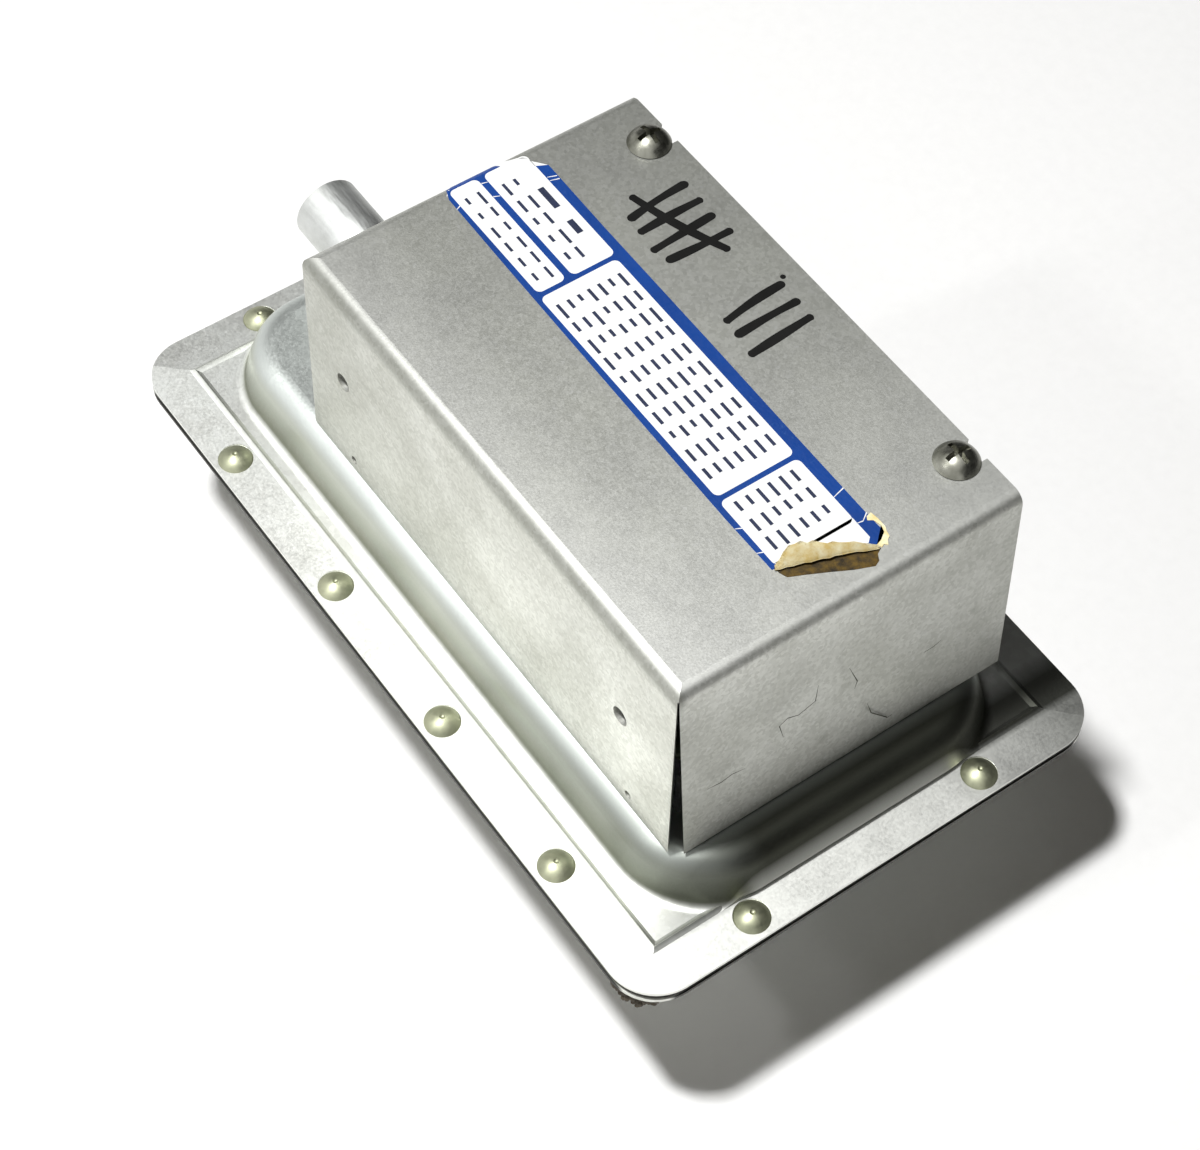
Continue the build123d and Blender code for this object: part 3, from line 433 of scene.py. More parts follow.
class Coat(Enum):
    """Every finish on the switch, by what the real one is."""

    COVER = ZincSheet(
        "satin zinc-coated cover sheet", "#E9EAE4", "#DADBD4", metallic=0.72,
        # Painted shade: the near wall and the top darker, and the cover darker towards its far (-X)
        # end and its +Y side. Painted highlight on the front (-Y) and near (+X) parts of the top.
        # The front wall is toned a little darker, with painted shade on it just under the top bend.
        painted_light=(PaintedLightBand(0, 52.5, 53.5, 0.26, "#70726A"), PaintedLightBand(2, 89.1, 90.1, 0.30, "#70726A"),
                PaintedLightBand(1, 4.0, 36.0, 0.18, "#5C5E58"), PaintedLightBand(0, 0.0, -50.0, 0.22, "#5C5E58"),
                PaintedLightBand(1, -14.0, -30.0, 0.30, "#FBFCF8", (2, 90.0, 90.5)),
                PaintedLightBand(0, 5.0, 50.0, 0.30, "#FBFCF8", (2, 90.0, 90.5)),
                PaintedLightBand(1, -30.9, -31.5, 0.20, "#8A8B7C"),
                PaintedLightBand(1, -29.2, -30.6, 0.40, "#55574A", (2, 86.9, 88.9))))
    HOUSING = ZincSheet(
        "bright zinc-plated pressing", "#EEEFEA", "#E2E4E0", "#8F9083", flake=0.16, flake_mm=1.1,
        grain_mm=0.5, cloud_mm=18.0, roughness=0.46, bump=0.12, grime_share=0.25, metallic=0.95,
        # Painted shade and light on the pan and flange: the pan dark from its foot up and lighter
        # again towards its top, with a bluish painted reflection there, and painted shade growing
        # towards the near (+X) end. A painted shadow of the cover lies on the near pan wall and
        # inner flange; the outer near flange strip is painted back to its lit tone; painted shade
        # lies towards the +Y side.
        painted_light=(PaintedLightBand(2, 38.15, 38.95, 0.82, "#5E614C"), PaintedLightBand(2, 39.4, 44.2, 0.80, "#C9CDC4"),
                PaintedLightBand(2, 44.6, 46.0, 0.35, "#DDE4E8"),
                PaintedLightBand(0, -10.0, 56.0, 0.62, "#50554B", (2, 38.2, 39.0)),
                PaintedLightBand(0, 54.5, 58.5, 0.90, "#2A2A20", (1, -42.0, -18.0)),
                PaintedLightBand(0, 63.4, 64.9, 0.95, "#E9EAE5"),
                PaintedLightBand(1, 18.0, 44.0, 0.60, "#4A4C45")))
    HOUSING_REAR = ZincSheet(
        "zinc-plated pressing with a blackened rim", "#E3E4DE", "#D4D6D0", "#85867A", flake=0.15,
        flake_mm=1.1, grain_mm=0.5, cloud_mm=18.0, roughness=0.47, bump=0.12,
        # Rim painted dark: partly dirt, partly the painted shadow under the front flange.
        rim=ShadowAndDirtRim(-9.0, 79.9, 48.3))
    BRACKET = ZincSheet("zinc-plated strap", "#C4C7CA", "#B2B5B6", grain_mm=0.4, roughness=0.36,
                        bump=0.2, glint=0.15)
    RIVET = TurnedMetal("yellow-passivated rivet steel", "#AEB096", "#8F927C", 0.48,
                        mark_mm=0.7, bump=0.3)
    SCREW = TurnedMetal("plated screw steel", "#A5A59B", "#6A6A60", 0.33, (1.0, 1.0, 0.3), 0.9, 0.7)
    TUBE = TurnedMetal("drawn aluminium tube", "#D3D5D3", "#C3C5C2", 0.50, (0.12, 1.0, 1.0), 0.5,
                       0.06)
    PLATE = TurnedMetal("rolled aluminium plate", "#D0D2D3", "#C0C2C3", 0.35, (0.15, 1.0, 1.0))
    SPRING = TurnedMetal("bright spring wire", "#B9BBBE", "#A4A6A8", 0.22)
    BRASS = TurnedMetal("turned brass", "#C9A45C", "#B58F4A", 0.28, (1.0, 1.0, 0.2))
    CONTACT = TurnedMetal("plated brass strip", "#D3BE85", "#C2AA70", 0.30, (1.0, 1.0, 0.2))
    RUBBER = Moulding("moulded black rubber", "#1C1C1C", "#262524", 0.68, 0.5, 0.3)
    GASKET = Moulding("cut fibre gasket", "#2E2C28", "#3A3731", 0.80, 0.4, 0.4)
    SILICONE = Moulding("moulded silicone", "#4A2A22", "#3C211B", 0.42, 0.8, 0.2)
    PHENOLIC = Moulding("moulded black phenolic", "#1B1A1A", "#232120", 0.40, 0.5, 0.2)
    PLUNGER = Moulding("moulded red acetal", "#A3201C", "#931A18", 0.35, 0.5, 0.1)
    FIBRE = Moulding("vulcanised fibre sheet", "#6E3F2A", "#5E3523", 0.62, 0.5, 0.4)
    GREEN = Moulding("green-lacquered screw", "#1E6B36", "#185A2C", 0.32, 0.4, 0.15)
    PAPER = PrintedPaper("bare white label face", "#F4F5F4", "#ECEDEC", "#D9D9D4", 0.25)
    INK = PrintedPaper("royal blue printed label", "#0B4190", "#093A84", "#3F68A8", 0.35, 0.42)
    RULE = PrintedPaper("dark blue printing", "#272F4C", "#1F2740", "#6A708A", 0.40, 0.50)
    BACKING = PrintedPaper("yellowed label adhesive", "#FAF3D2", "#E8D28C", "#9C7A28", 0.6, 0.6,
                           1.8)
    # Brown adhesive whose colour also stands for the shade under the label's curled end: partly
    # real adhesive, partly painted shade.
    ADHESIVE_AND_SHADE = PrintedPaper("aged brown adhesive with painted shade", "#604A12", "#1C1505", "#A88430", 0.6, 0.5, 1.3)
    MARKER = Moulding("dried felt-tip ink", "#0D0D0C", "#161615", 0.62, 0.6, 0.15, 0.15)
    SCRATCH = TurnedMetal("scored zinc", "#5E5F55", "#4C4D44", 0.6, mark_mm=0.3)
    SEALANT = Moulding("dried sealant", "#5E564A", "#3F392D", 0.80, 0.8, 0.9)

    def built(self) -> bpy.types.Material:
        """The finish's material, made the first time it is asked for."""
        return bpy.data.materials.get(self.value.name) or self.value.material()


NODE_COATS: dict[Coat, tuple[str, ...]] = {
    Coat.COVER: ("cover",),
    Coat.HOUSING: ("front_housing",),
    Coat.HOUSING_REAR: ("rear_housing",),
    Coat.BRACKET: ("mounting_bracket", "cover_carrier", "mechanism_frame", "adjuster_bridge",
                   "lever"),
    Coat.RIVET: ("housing_rivets", "bracket_rivets", "carrier_rivets", "frame_rivets"),
    Coat.SCREW: ("cover_screws", "mounting_nuts", "stem", "pivot_pin", "terminal_screws",
                 "switch_screws"),
    Coat.TUBE: ("front_tube", "rear_tube"),
    Coat.PLATE: ("front_plate", "rear_plate"),
    Coat.SPRING: ("stem_clip", "pivot_clips", "adjuster_clip", "calibration_spring"),
    Coat.BRASS: ("stem_bushing", "pivot_washers", "spring_cup", "spring_nut", "set_point_screw"),
    Coat.CONTACT: ("snap_blade", "switch_terminals", "terminal_washers"),
    Coat.RUBBER: ("front_tube_seal", "rear_tube_seal"),
    Coat.GASKET: ("gasket",),
    Coat.SILICONE: ("diaphragm",),
    Coat.PHENOLIC: ("switch_case", "switch_cover"),
    Coat.PLUNGER: ("switch_plunger",),
    Coat.FIBRE: ("switch_insulator",),
    Coat.GREEN: ("ground_screw",),
}


@dataclass
class CoverTop:
    """The cover's top face, which the label and the ink lie on."""

    top: float = field(default_factory=lambda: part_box("cover")[1].z)
    far_edge: float = -53.0 * MM
    bend_r: float = 2.4 * MM

    def drape(self, x: float, y: float, rise: float) -> Vector:
        """Point above the top face, carried round the bend at the far edge.

        Args:
            x: place along the cover.
            y: place across the cover.
            rise: height above the sheet.

        Returns:
            The point on the sheet.
        """
        start = self.far_edge + self.bend_r
        if x >= start:
            return Vector((x, y, self.top + rise))
        angle = min((start - x) / self.bend_r, math.pi / 2)
        reach = self.bend_r + rise
        return Vector((start - reach * math.sin(angle), y,
                       self.top - self.bend_r + reach * math.cos(angle)))


class SubAssembly:
    """Shared ways of making and placing pieces."""

    def piece(self, name: str, mesh: bmesh.types.BMesh, coat: Coat,
              smooth: bool = False) -> bpy.types.Object:
        """Turn a mesh into a finished piece that rides on the cover.

        Args:
            name: the piece's name.
            mesh: its shape, in place.
            coat: its finish.
            smooth: whether its faces are shaded smooth.

        Returns:
            The new object.
        """
        data = bpy.data.meshes.new(name)
        bmesh.ops.recalc_face_normals(mesh, faces=mesh.faces)
        mesh.to_mesh(data)
        mesh.free()
        data.materials.append(coat.built())
        return carry(put(name, data), "cover", "cover_zinc", smooth)

    def flat(self, outline: Sequence[Point], low: float, high: float,
             place: Callable[[float, float, float], Vector], cuts: Sequence[float] = (),
             into: Optional[bmesh.types.BMesh] = None) -> bmesh.types.BMesh:
        """Thin closed sheet with a given outline.

        Args:
            outline: corners in millimetres.
            low: height of the underside.
            high: height of the top.
            place: function from (x, y, height) to a point.
            cuts: x values, in millimetres, where the sheet is cut so that it can bend.
            into: mesh that the sheet is added to.

        Returns:
            The mesh.
        """
        mesh = bmesh.new()
        ring = [mesh.verts.new((x * MM, y * MM, 0.0)) for x, y in outline]
        mesh.faces.new(ring)
        for x in cuts:
            every = list(mesh.verts) + list(mesh.edges) + list(mesh.faces)
            bmesh.ops.bisect_plane(mesh, geom=every, plane_co=(x * MM, 0, 0), plane_no=(1, 0, 0))
        bmesh.ops.triangulate(mesh, faces=mesh.faces)
        top = bmesh.ops.extrude_face_region(mesh, geom=list(mesh.faces))
        lifted = {v for v in top["geom"] if isinstance(v, bmesh.types.BMVert)}
        for v in mesh.verts:
            v.co = place(v.co.x, v.co.y, high if v in lifted else low)
        if into is None:
            return mesh
        scratch = bpy.data.meshes.new("scratch")
        mesh.to_mesh(scratch)
        mesh.free()
        into.from_mesh(scratch)
        bpy.data.meshes.remove(scratch)
        return into


def rounded_panel(x0: float, y0: float, x1: float, y1: float, r: float,
                  steps: int = 6) -> list[Point]:
    """Outline of a rounded rectangle, in the units of its corners.

    Args:
        x0: low x.
        y0: low y.
        x1: high x.
        y1: high y.
        r: corner radius.
        steps: segments in each corner.

    Returns:
        Its points, anticlockwise.
    """
    points = []
    for cx, cy, start in ((x1 - r, y1 - r, 0), (x0 + r, y1 - r, 90), (x0 + r, y0 + r, 180),
                          (x1 - r, y0 + r, 270)):
        for i in range(steps + 1):
            a = math.radians(start + 90 * i / steps)
            points.append((cx + r * math.cos(a), cy + r * math.sin(a)))
    return points


class GeometryTree:
    """A Geometry Nodes tree with named inputs, built in code."""

    def __init__(self, name: str, **sizes: str) -> None:
        """Open the tree.

        Args:
            name: what the tree makes.
            sizes: input name to the kind of its socket.
        """
        self.tree = bpy.data.node_groups.new(name, "GeometryNodeTree")
        face = self.tree.interface
        for label, kind in {"Geometry": "Geometry", **sizes, "Coat": "Material"}.items():
            face.new_socket(label, in_out="INPUT", socket_type=f"NodeSocket{kind}")
        face.new_socket("Geometry", in_out="OUTPUT", socket_type="NodeSocketGeometry")
        self.inputs = self.tree.nodes.new("NodeGroupInput").outputs

    def add(self, kind: str, inputs: Inputs = None, **settings) -> Socket:
        """Add a node to this tree and give its first output."""
        return add_node(self.tree, kind, inputs, **settings).outputs[0]

    def close(self, geometry: Socket) -> None:
        """End the tree in real, coated geometry."""
        real = self.add("GeometryNodeRealizeInstances", {0: geometry})
        coated = self.add("GeometryNodeSetMaterial", {"Geometry": real,
                                                      "Material": self.inputs["Coat"]})
        add_node(self.tree, "NodeGroupOutput", {0: coated})

    def grow(self, name: str, points: Sequence[Vector], values: dict, coat: Coat,
             body: str = "housing", slot: str = "housing_zinc", smooth: bool = True,
             joined: bool = False) -> bpy.types.Object:
        """Run the tree on some points and keep the result as a plain mesh.

        Args:
            name: the piece's name.
            points: where the tree puts its copies.
            values: input name to value.
            coat: the piece's finish.
            body: CAD body that carries it.
            slot: the record's material slot.
            smooth: whether its faces are shaded smooth.
            joined: whether the points form one line.

        Returns:
            The new object.
        """
        seed = bpy.data.meshes.new(name)
        edges = [(i, i + 1) for i in range(len(points) - 1)] if joined else []
        seed.from_pydata([tuple(p) for p in points], edges, [])
        made = put(name, seed)
        modifier = made.modifiers.new("grow", "NODES")
        modifier.node_group = self.tree
        values = {**values, "Coat": coat.built()}
        for item in self.tree.interface.items_tree:
            if item.in_out == "INPUT" and item.name in values:
                modifier[item.identifier] = values[item.name]
        graph = bpy.context.evaluated_depsgraph_get()
        made.data = bpy.data.meshes.new_from_object(made.evaluated_get(graph))
        made.modifiers.remove(modifier)
        bpy.data.meshes.remove(seed)
        made.data.name = name
        return carry(made, body, slot, smooth)


@dataclass
class CoverLabel(SubAssembly):
    """Printed label on the cover: a blue sheet, four bare white panels and torn ends."""

    sheet: CoverTop
    gap: float = 0.01 * MM
    thickness: float = 0.07 * MM
    face_lift: float = 0.02 * MM
    sink: float = 0.005 * MM
    tilt: float = 0.0066
    tilt_from: float = -50.0 * MM
    corner_mm: float = 1.1
    crack_mm: float = 0.11
    bends: tuple[float, ...] = (-52.6, -52.0, -51.4, -50.8)
    outline: Outline = (
        (-46.8, 14.2), (-30.0, 14.0), (0.0, 14.0), (20.0, 13.9), (40.6, 13.9), (45.6, 14.0),
        (46.6, 13.3), (47.6, 12.6), (46.9, 11.2), (45.4, 8.2), (44.2, 4.8), (43.4, 1.4),
        (42.2, -0.6), (41.8, -4.9), (30.0, -5.1), (0.0, -4.9), (-30.0, -4.6), (-49.6, -4.3),
        (-51.9, -3.4), (-52.8, -1.7), (-53.1, 1.4), (-53.3, 6.6), (-52.2, 8.0), (-51.2, 9.8),
        (-49.4, 11.6))
    panels: tuple[tuple[float, float, float, float], ...] = (
        (-51.1, 3.5, -24.1, 12.2), (-51.1, -3.5, -24.1, 2.2), (-23.1, -3.8, 25.9, 11.7),
        (26.9, -4.0, 41.6, 11.5))
    near_tail: Outline = (
        (41.0, -4.0), (41.9, -0.4), (43.1, 1.9), (44.0, 5.2), (45.1, 8.4), (46.2, 10.6),
        (45.4, 11.5), (41.0, 11.5))
    torn_corner: Outline = (
        (-46.9, 14.1), (-47.9, 12.1), (-50.0, 12.1), (-51.0, 11.2), (-51.1, 7.2), (-53.1, 6.2),
        (-53.3, 7.0), (-52.2, 8.4), (-50.8, 10.6), (-49.2, 12.2))
    cracks: tuple[tuple[Point, Point], ...] = (
        ((-44.0, 14.0), (-44.6, 12.4)), ((-43.2, 14.0), (-43.7, 12.3)),
        ((35.6, 13.9), (36.2, 11.5)), ((41.4, 14.0), (42.4, 12.5)), ((42.4, 12.5), (42.2, 11.4)),
        ((32.9, -4.0), (32.4, -5.0)), ((38.4, -4.0), (38.0, -5.0)), ((-51.6, -3.0), (-50.4, -4.2)),
        ((-47.4, -3.5), (-47.0, -4.4)), ((-52.7, -0.6), (-51.1, -1.6)),
        ((-49.6, 2.3), (-49.3, 3.4)), ((-46.0, 2.3), (-45.5, 3.4)))
    # Each block: middle, columns, rows, pitch along and across the label, height of a bar.
    print_blocks: tuple[tuple[float, float, int, int, float, float, float], ...] = (
        (-36.5, 10.0, 2, 1, 8.6, 2.0, 1.2), (-37.0, 6.3, 5, 2, 4.6, 2.2, 0.6),
        (-37.2, -0.6, 6, 2, 4.0, 2.5, 0.55), (1.2, 3.9, 10, 7, 4.5, 2.05, 0.62),
        (33.4, 3.6, 3, 6, 4.1, 2.2, 0.62))
    bar_share: float = 0.82
    print_mm: float = 0.02
    # Strip of aged adhesive beyond the curl; its dark colour is partly painted shade under the
    # curl.
    adhesive: Outline = (
        (41.8, -5.0), (42.9, -4.9), (44.2, -4.4), (45.5, -1.6), (47.2, 1.8), (48.9, 5.0),
        (50.2, 8.2), (49.7, 9.3), (48.6, 9.9), (48.0, 11.0), (46.6, 10.4), (45.2, 8.0),
        (44.0, 4.8), (43.0, 1.2), (42.2, -1.0))
    shred: Outline = (
        (41.8, 13.9), (42.0, 12.9), (42.7, 12.5), (43.2, 13.3), (44.6, 13.7), (45.9, 13.3),
        (46.8, 12.0), (47.2, 10.8), (48.0, 11.2), (47.7, 11.8), (48.2, 12.3), (47.4, 12.8),
        (47.0, 13.5), (46.0, 13.7), (45.2, 14.1), (43.4, 14.1))
    flap_root: Outline = ((41.7, -5.0), (42.4, -1.2), (43.6, 2.6), (45.0, 6.4), (47.6, 10.8))
    flap_tails: tuple[float, ...] = (0.2, 0.9, 2.1, 2.9, 2.5, 2.8, 2.2, 2.5, 1.6, 1.1, 1.5, 0.9,
                                     0.6, 0.9, 0.5, 0.3, 0.1)
    flap_turn: float = math.radians(164)
    flap_steps: int = 8
    tail_steps: int = 3
    flap_r_mm: float = 0.72
    flap_bulge: float = 2.1
    flap_lean: Point = (0.90, -0.43)
    flap_ripple: float = 0.10
    tail_reach: float = 0.96
    flap_thickness: float = 0.08 * MM

    def place(self, x: float, y: float, rise: float) -> Vector:
        """Point on the label, which sits slightly turned on the cover."""
        return self.sheet.drape(x, y - self.tilt * (x - self.tilt_from), rise)

    def build(self) -> None:
        """Make the sheet, its faces, its cracks, its print and its peeled end."""
        ink_top = self.thickness
        face_top = ink_top + self.face_lift
        ink = self.flat(self.outline, self.gap, ink_top, self.place, self.bends)
        self.piece("label_sheet", ink, Coat.INK)
        faces = bmesh.new()
        panels = [(rounded_panel(*panel, self.corner_mm), self.bends) for panel in self.panels]
        for outline, cuts in (*panels, (self.near_tail, ()), (self.torn_corner, self.bends)):
            self.flat(outline, ink_top - self.sink, face_top, self.place, cuts, faces)
        self.piece("label_faces", faces, Coat.PAPER)
        mesh = bmesh.new()
        for (x0, y0), (x1, y1) in self.cracks:
            length = math.hypot(x1 - x0, y1 - y0)
            u, v = (y1 - y0) / length * self.crack_mm, (x0 - x1) / length * self.crack_mm
            outline = ((x0 + u, y0 + v), (x1 + u * 0.5, y1 + v * 0.5),
                       (x1 - u * 0.5, y1 - v * 0.5), (x0 - u, y0 - v))
            self.flat(outline, ink_top - self.sink, face_top, self.place, (), mesh)
        self.piece("label_cracks", mesh, Coat.PAPER)
        self.rows(face_top)
        # The adhesive strip's colour is partly painted shade under the curl.
        for name, outline, low, high, coat in (
                ("label_adhesive_and_shade", self.adhesive, 0.01, 0.05, Coat.ADHESIVE_AND_SHADE),
                ("label_shred", self.shred, 0.06, 0.15, Coat.BACKING)):
            self.piece(name, self.flat(outline, low * MM, high * MM, self.sheet.drape), coat)
        half_turn, end = self.flap_steps // 2, self.flap_steps + self.tail_steps
        # The curl's lower half, on its shaded side, takes the dark adhesive coat and its upper half
        # the cream one: partly the adhesive's own tones, partly painted shade.
        self.piece("label_underside", self.curl(face_top, 0, half_turn), Coat.ADHESIVE_AND_SHADE, True)
        self.piece("label_curl", self.curl(face_top, half_turn, end), Coat.BACKING, True)

    def rows(self, low: float) -> None:
        """Rows of plain printed bars that stand where the printing is.

        Args:
            low: height of the label's face.
        """
        tree = GeometryTree("printed rows", Columns="Int", Rows="Int", Pitch="Float",
                            Spacing="Float", Bar="Vector", Seed="Int", Turn="Vector")
        sockets = tree.inputs
        spans = []
        for count, step in (("Columns", "Pitch"), ("Rows", "Spacing")):
            gaps = tree.add("ShaderNodeMath", {0: sockets[count], 1: 1.0}, operation="SUBTRACT")
            spans.append(tree.add("ShaderNodeMath", {0: gaps, 1: sockets[step]},
                                  operation="MULTIPLY"))
        cells = tree.add("GeometryNodeMeshGrid", {
            "Size X": spans[0], "Size Y": spans[1], "Vertices X": sockets["Columns"],
            "Vertices Y": sockets["Rows"]})
        length, slip = [tree.add("FunctionNodeRandomValue", {
            "Min": low_end, "Max": high_end, "Seed": sockets["Seed"]}, data_type="FLOAT_VECTOR")
            for low_end, high_end in (((0.4, 1.0, 1.0), (0.95, 1.0, 1.0)),
                                      ((-0.1, 0.0, 0.0), (0.1, 0.0, 0.0)))]
        drift = tree.add("ShaderNodeVectorMath", {0: slip, "Scale": sockets["Pitch"]},
                         operation="SCALE")
        block = tree.add("GeometryNodeInstanceOnPoints", {
            "Points": tree.add("GeometryNodeSetPosition", {"Geometry": cells, "Offset": drift}),
            "Instance": tree.add("GeometryNodeMeshCube", {"Size": sockets["Bar"]}),
            "Scale": length})
        tree.close(tree.add("GeometryNodeInstanceOnPoints", {
            "Points": sockets["Geometry"], "Instance": block, "Rotation": sockets["Turn"]}))
        for i, (x, y, columns, rows, pitch, spacing, height) in enumerate(self.print_blocks):
            start = self.place(x * MM, y * MM, low + 0.3 * self.print_mm * MM)
            tree.grow(f"label_print_{i + 1}", [start], {
                "Columns": columns, "Rows": rows, "Pitch": pitch * MM, "Spacing": spacing * MM,
                "Bar": (pitch * self.bar_share * MM, height * MM, self.print_mm * MM),
                "Seed": i + 3, "Turn": (0.0, 0.0, -self.tilt)}, Coat.RULE, "cover", "cover_zinc",
                False)

    def curl(self, low: float, start: int, end: int) -> bmesh.types.BMesh:
        """Part of the label's near end, which is lifted and curled back.

        Args:
            low: height of the label's face.
            start: first step of its turn.
            end: last step of its turn.

        Returns:
            A closed sheet of paper thickness.
        """
        mesh = bmesh.new()
        last = len(self.flap_tails) - 1
        rows = []
        for i, tail in enumerate(self.flap_tails):
            along_root = i / last * (len(self.flap_root) - 1)
            k = min(int(along_root), len(self.flap_root) - 2)
            (x0, y0), (x1, y1) = self.flap_root[k], self.flap_root[k + 1]
            f = along_root - k
            x, y = x0 + (x1 - x0) * f, y0 + (y1 - y0) * f
            swell = math.sin(math.pi * (i + 1.5) / (last + 3)) ** 0.6
            radius = self.flap_r_mm * swell * (1 + self.flap_ripple * math.sin(2.3 * i))
            row = []
            for j in range(start, end + 1):
                turn = self.flap_turn * min(j, self.flap_steps) / self.flap_steps
                back = tail * max(0, j - self.flap_steps) / self.tail_steps
                out = self.flap_bulge * radius * math.sin(turn) - back * self.tail_reach
                rise = radius * (1 - math.cos(turn)) + back * self.flap_ripple * math.sin(i * 1.7)
                row.append(mesh.verts.new(self.sheet.drape(
                    (x + out * self.flap_lean[0]) * MM, (y + out * self.flap_lean[1]) * MM,
                    low + rise * MM)))
            rows.append(row)
        for a, b in zip(rows, rows[1:]):
            for j in range(len(a) - 1):
                mesh.faces.new((a[j], a[j + 1], b[j + 1], b[j]))
        bmesh.ops.solidify(mesh, geom=list(mesh.faces), thickness=self.flap_thickness)
        return mesh


@dataclass
class MarkerTally(SubAssembly):
    """Hand-drawn tally in felt-tip beside the label."""

    sheet: CoverTop
    gap: float = 0.008 * MM
    film: float = 0.03 * MM
    width_mm: float = 1.75
    pitch_mm: float = 4.1
    height_mm: float = 12.0
    base_y: float = 18.6
    groups: tuple[tuple[float, int], ...] = ((-30.0, 4), (-3.0, 3))
    leans: tuple[float, ...] = (0.9, 0.2, 0.6, -0.3)
    drops: tuple[float, ...] = (0.3, 0.0, -0.6, 0.2)
    bows: tuple[float, ...] = (0.25, 0.13, 0.01, -0.11)
    slash: tuple[Point, Point] = ((-2.6, 3.2), (15.2, 9.4))
    slash_bow: float = -0.5
    dot: tuple[float, ...] = (-5.0, 31.6, -4.0, 32.6, 0.49)
    steps: int = 14
    cap_share: float = 0.92
    cap_turns: tuple[float, ...] = (-1.2, -0.8, -0.4, 0.0, 0.4, 0.8, 1.2)

    def stroke(self, start: Point, end: Point, bow: float, into: bmesh.types.BMesh,
               lift: float = 0.0) -> None:
        """One stroke with round ends and a slight bow.

        Args:
            start: lower end, in millimetres.
            end: upper end, in millimetres.
            bow: how far the middle stands aside, in millimetres.
            into: mesh that the stroke is added to.
            lift: how far the stroke lies above the sheet, where it crosses others.
        """
        length = math.hypot(end[0] - start[0], end[1] - start[1])
        ux, uy = (end[0] - start[0]) / length, (end[1] - start[1]) / length
        half = self.width_mm / 2
        left, right = [], []
        for i in range(self.steps + 1):
            t = i / self.steps
            side = bow * math.sin(math.pi * t)
            x = start[0] + ux * length * t - uy * side
            y = start[1] + uy * length * t + ux * side
            w = half * (0.9 + 0.12 * math.sin(5.1 * t + start[0]))
            left.append((x - uy * w, y + ux * w))
            right.append((x + uy * w, y - ux * w))
        round_r = half * self.cap_share
        head, foot = [[(x + round_r * math.cos(base + a), y + round_r * math.sin(base + a))
                       for a in self.cap_turns]
                      for (x, y), base in ((end, math.atan2(uy, ux)),
                                           (start, math.atan2(uy, ux) + math.pi))]
        self.flat(right + head + left[::-1] + foot, self.gap + lift, self.film + lift,
                  self.sheet.drape, (), into)

    def build(self) -> None:
        """Draw the groups of strokes and a dot."""
        mesh = bmesh.new()
        low = self.base_y
        for x, count in self.groups:
            for i, lean, drop, bow in zip(range(count), self.leans, self.drops, self.bows):
                foot = (x + self.pitch_mm * i + lean, low + drop)
                head = (x + self.pitch_mm * i - lean * 0.4, low + self.height_mm + drop * 0.5)
                self.stroke(foot, head, bow, mesh)
            if count == len(self.leans):
                foot, head = [(x + along, low + up) for along, up in self.slash]
                self.stroke(foot, head, self.slash_bow, mesh, self.film)
        self.flat(rounded_panel(*self.dot, 3), self.gap, self.film, self.sheet.drape, (), mesh)
        self.piece("marker_tally", mesh, Coat.MARKER)


@dataclass
class RimCrust:
    """Dried sealant that hangs from the rear housing's rim, which is painted dark for dirt and
    shadow, at the near front corner.
    """

    centre: Point = (62.45, -39.85)
    reach_mm: float = 8.25
    turns: Point = (-92.0, -32.0)
    crumbs: int = 110
    crumb: float = 0.58 * MM
    hang_mm: float = 3.0
    ring_mm: float = 0.35
    rim: float = 1.0 * MM
    seed: int = 5

    def build(self) -> None:
        """Scatter rough crumbs under the rim so that they run together."""
        tree = GeometryTree("rim crust", Crumb="Float", Seed="Int")
        seed = tree.inputs["Seed"]
        tree.close(tree.add("GeometryNodeInstanceOnPoints", {
            "Points": tree.inputs["Geometry"],
            "Instance": tree.add("GeometryNodeMeshIcoSphere", {"Radius": tree.inputs["Crumb"],
                                                               "Subdivisions": 2}),
            "Rotation": tree.add("FunctionNodeRandomValue", {"Max": (3.1, 3.1, 3.1), "Seed": seed},
                                 data_type="FLOAT_VECTOR"),
            "Scale": tree.add("FunctionNodeRandomValue", {
                "Min": (0.5, 0.5, 0.4), "Max": (1.3, 1.2, 1.1), "Seed": seed},
                data_type="FLOAT_VECTOR")}))
        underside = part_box("gasket")[0].z - self.rim
        points = []
        for i in range(self.crumbs):
            share = i / (self.crumbs - 1)
            a = math.radians(self.turns[0] + (self.turns[1] - self.turns[0]) * share)
            hang = math.sin(math.pi * share) ** 0.7
            reach = self.reach_mm - self.ring_mm * (i % 3)
            drop = (0.1 + (0.3 + self.hang_mm * hang) * ((i * 7) % 11) / 10) * MM
            points.append(Vector(((self.centre[0] + reach * math.cos(a)) * MM,
                                  (self.centre[1] + reach * math.sin(a)) * MM, underside - drop)))
        tree.grow("rim_crust", points, {"Crumb": self.crumb, "Seed": self.seed}, Coat.SEALANT)


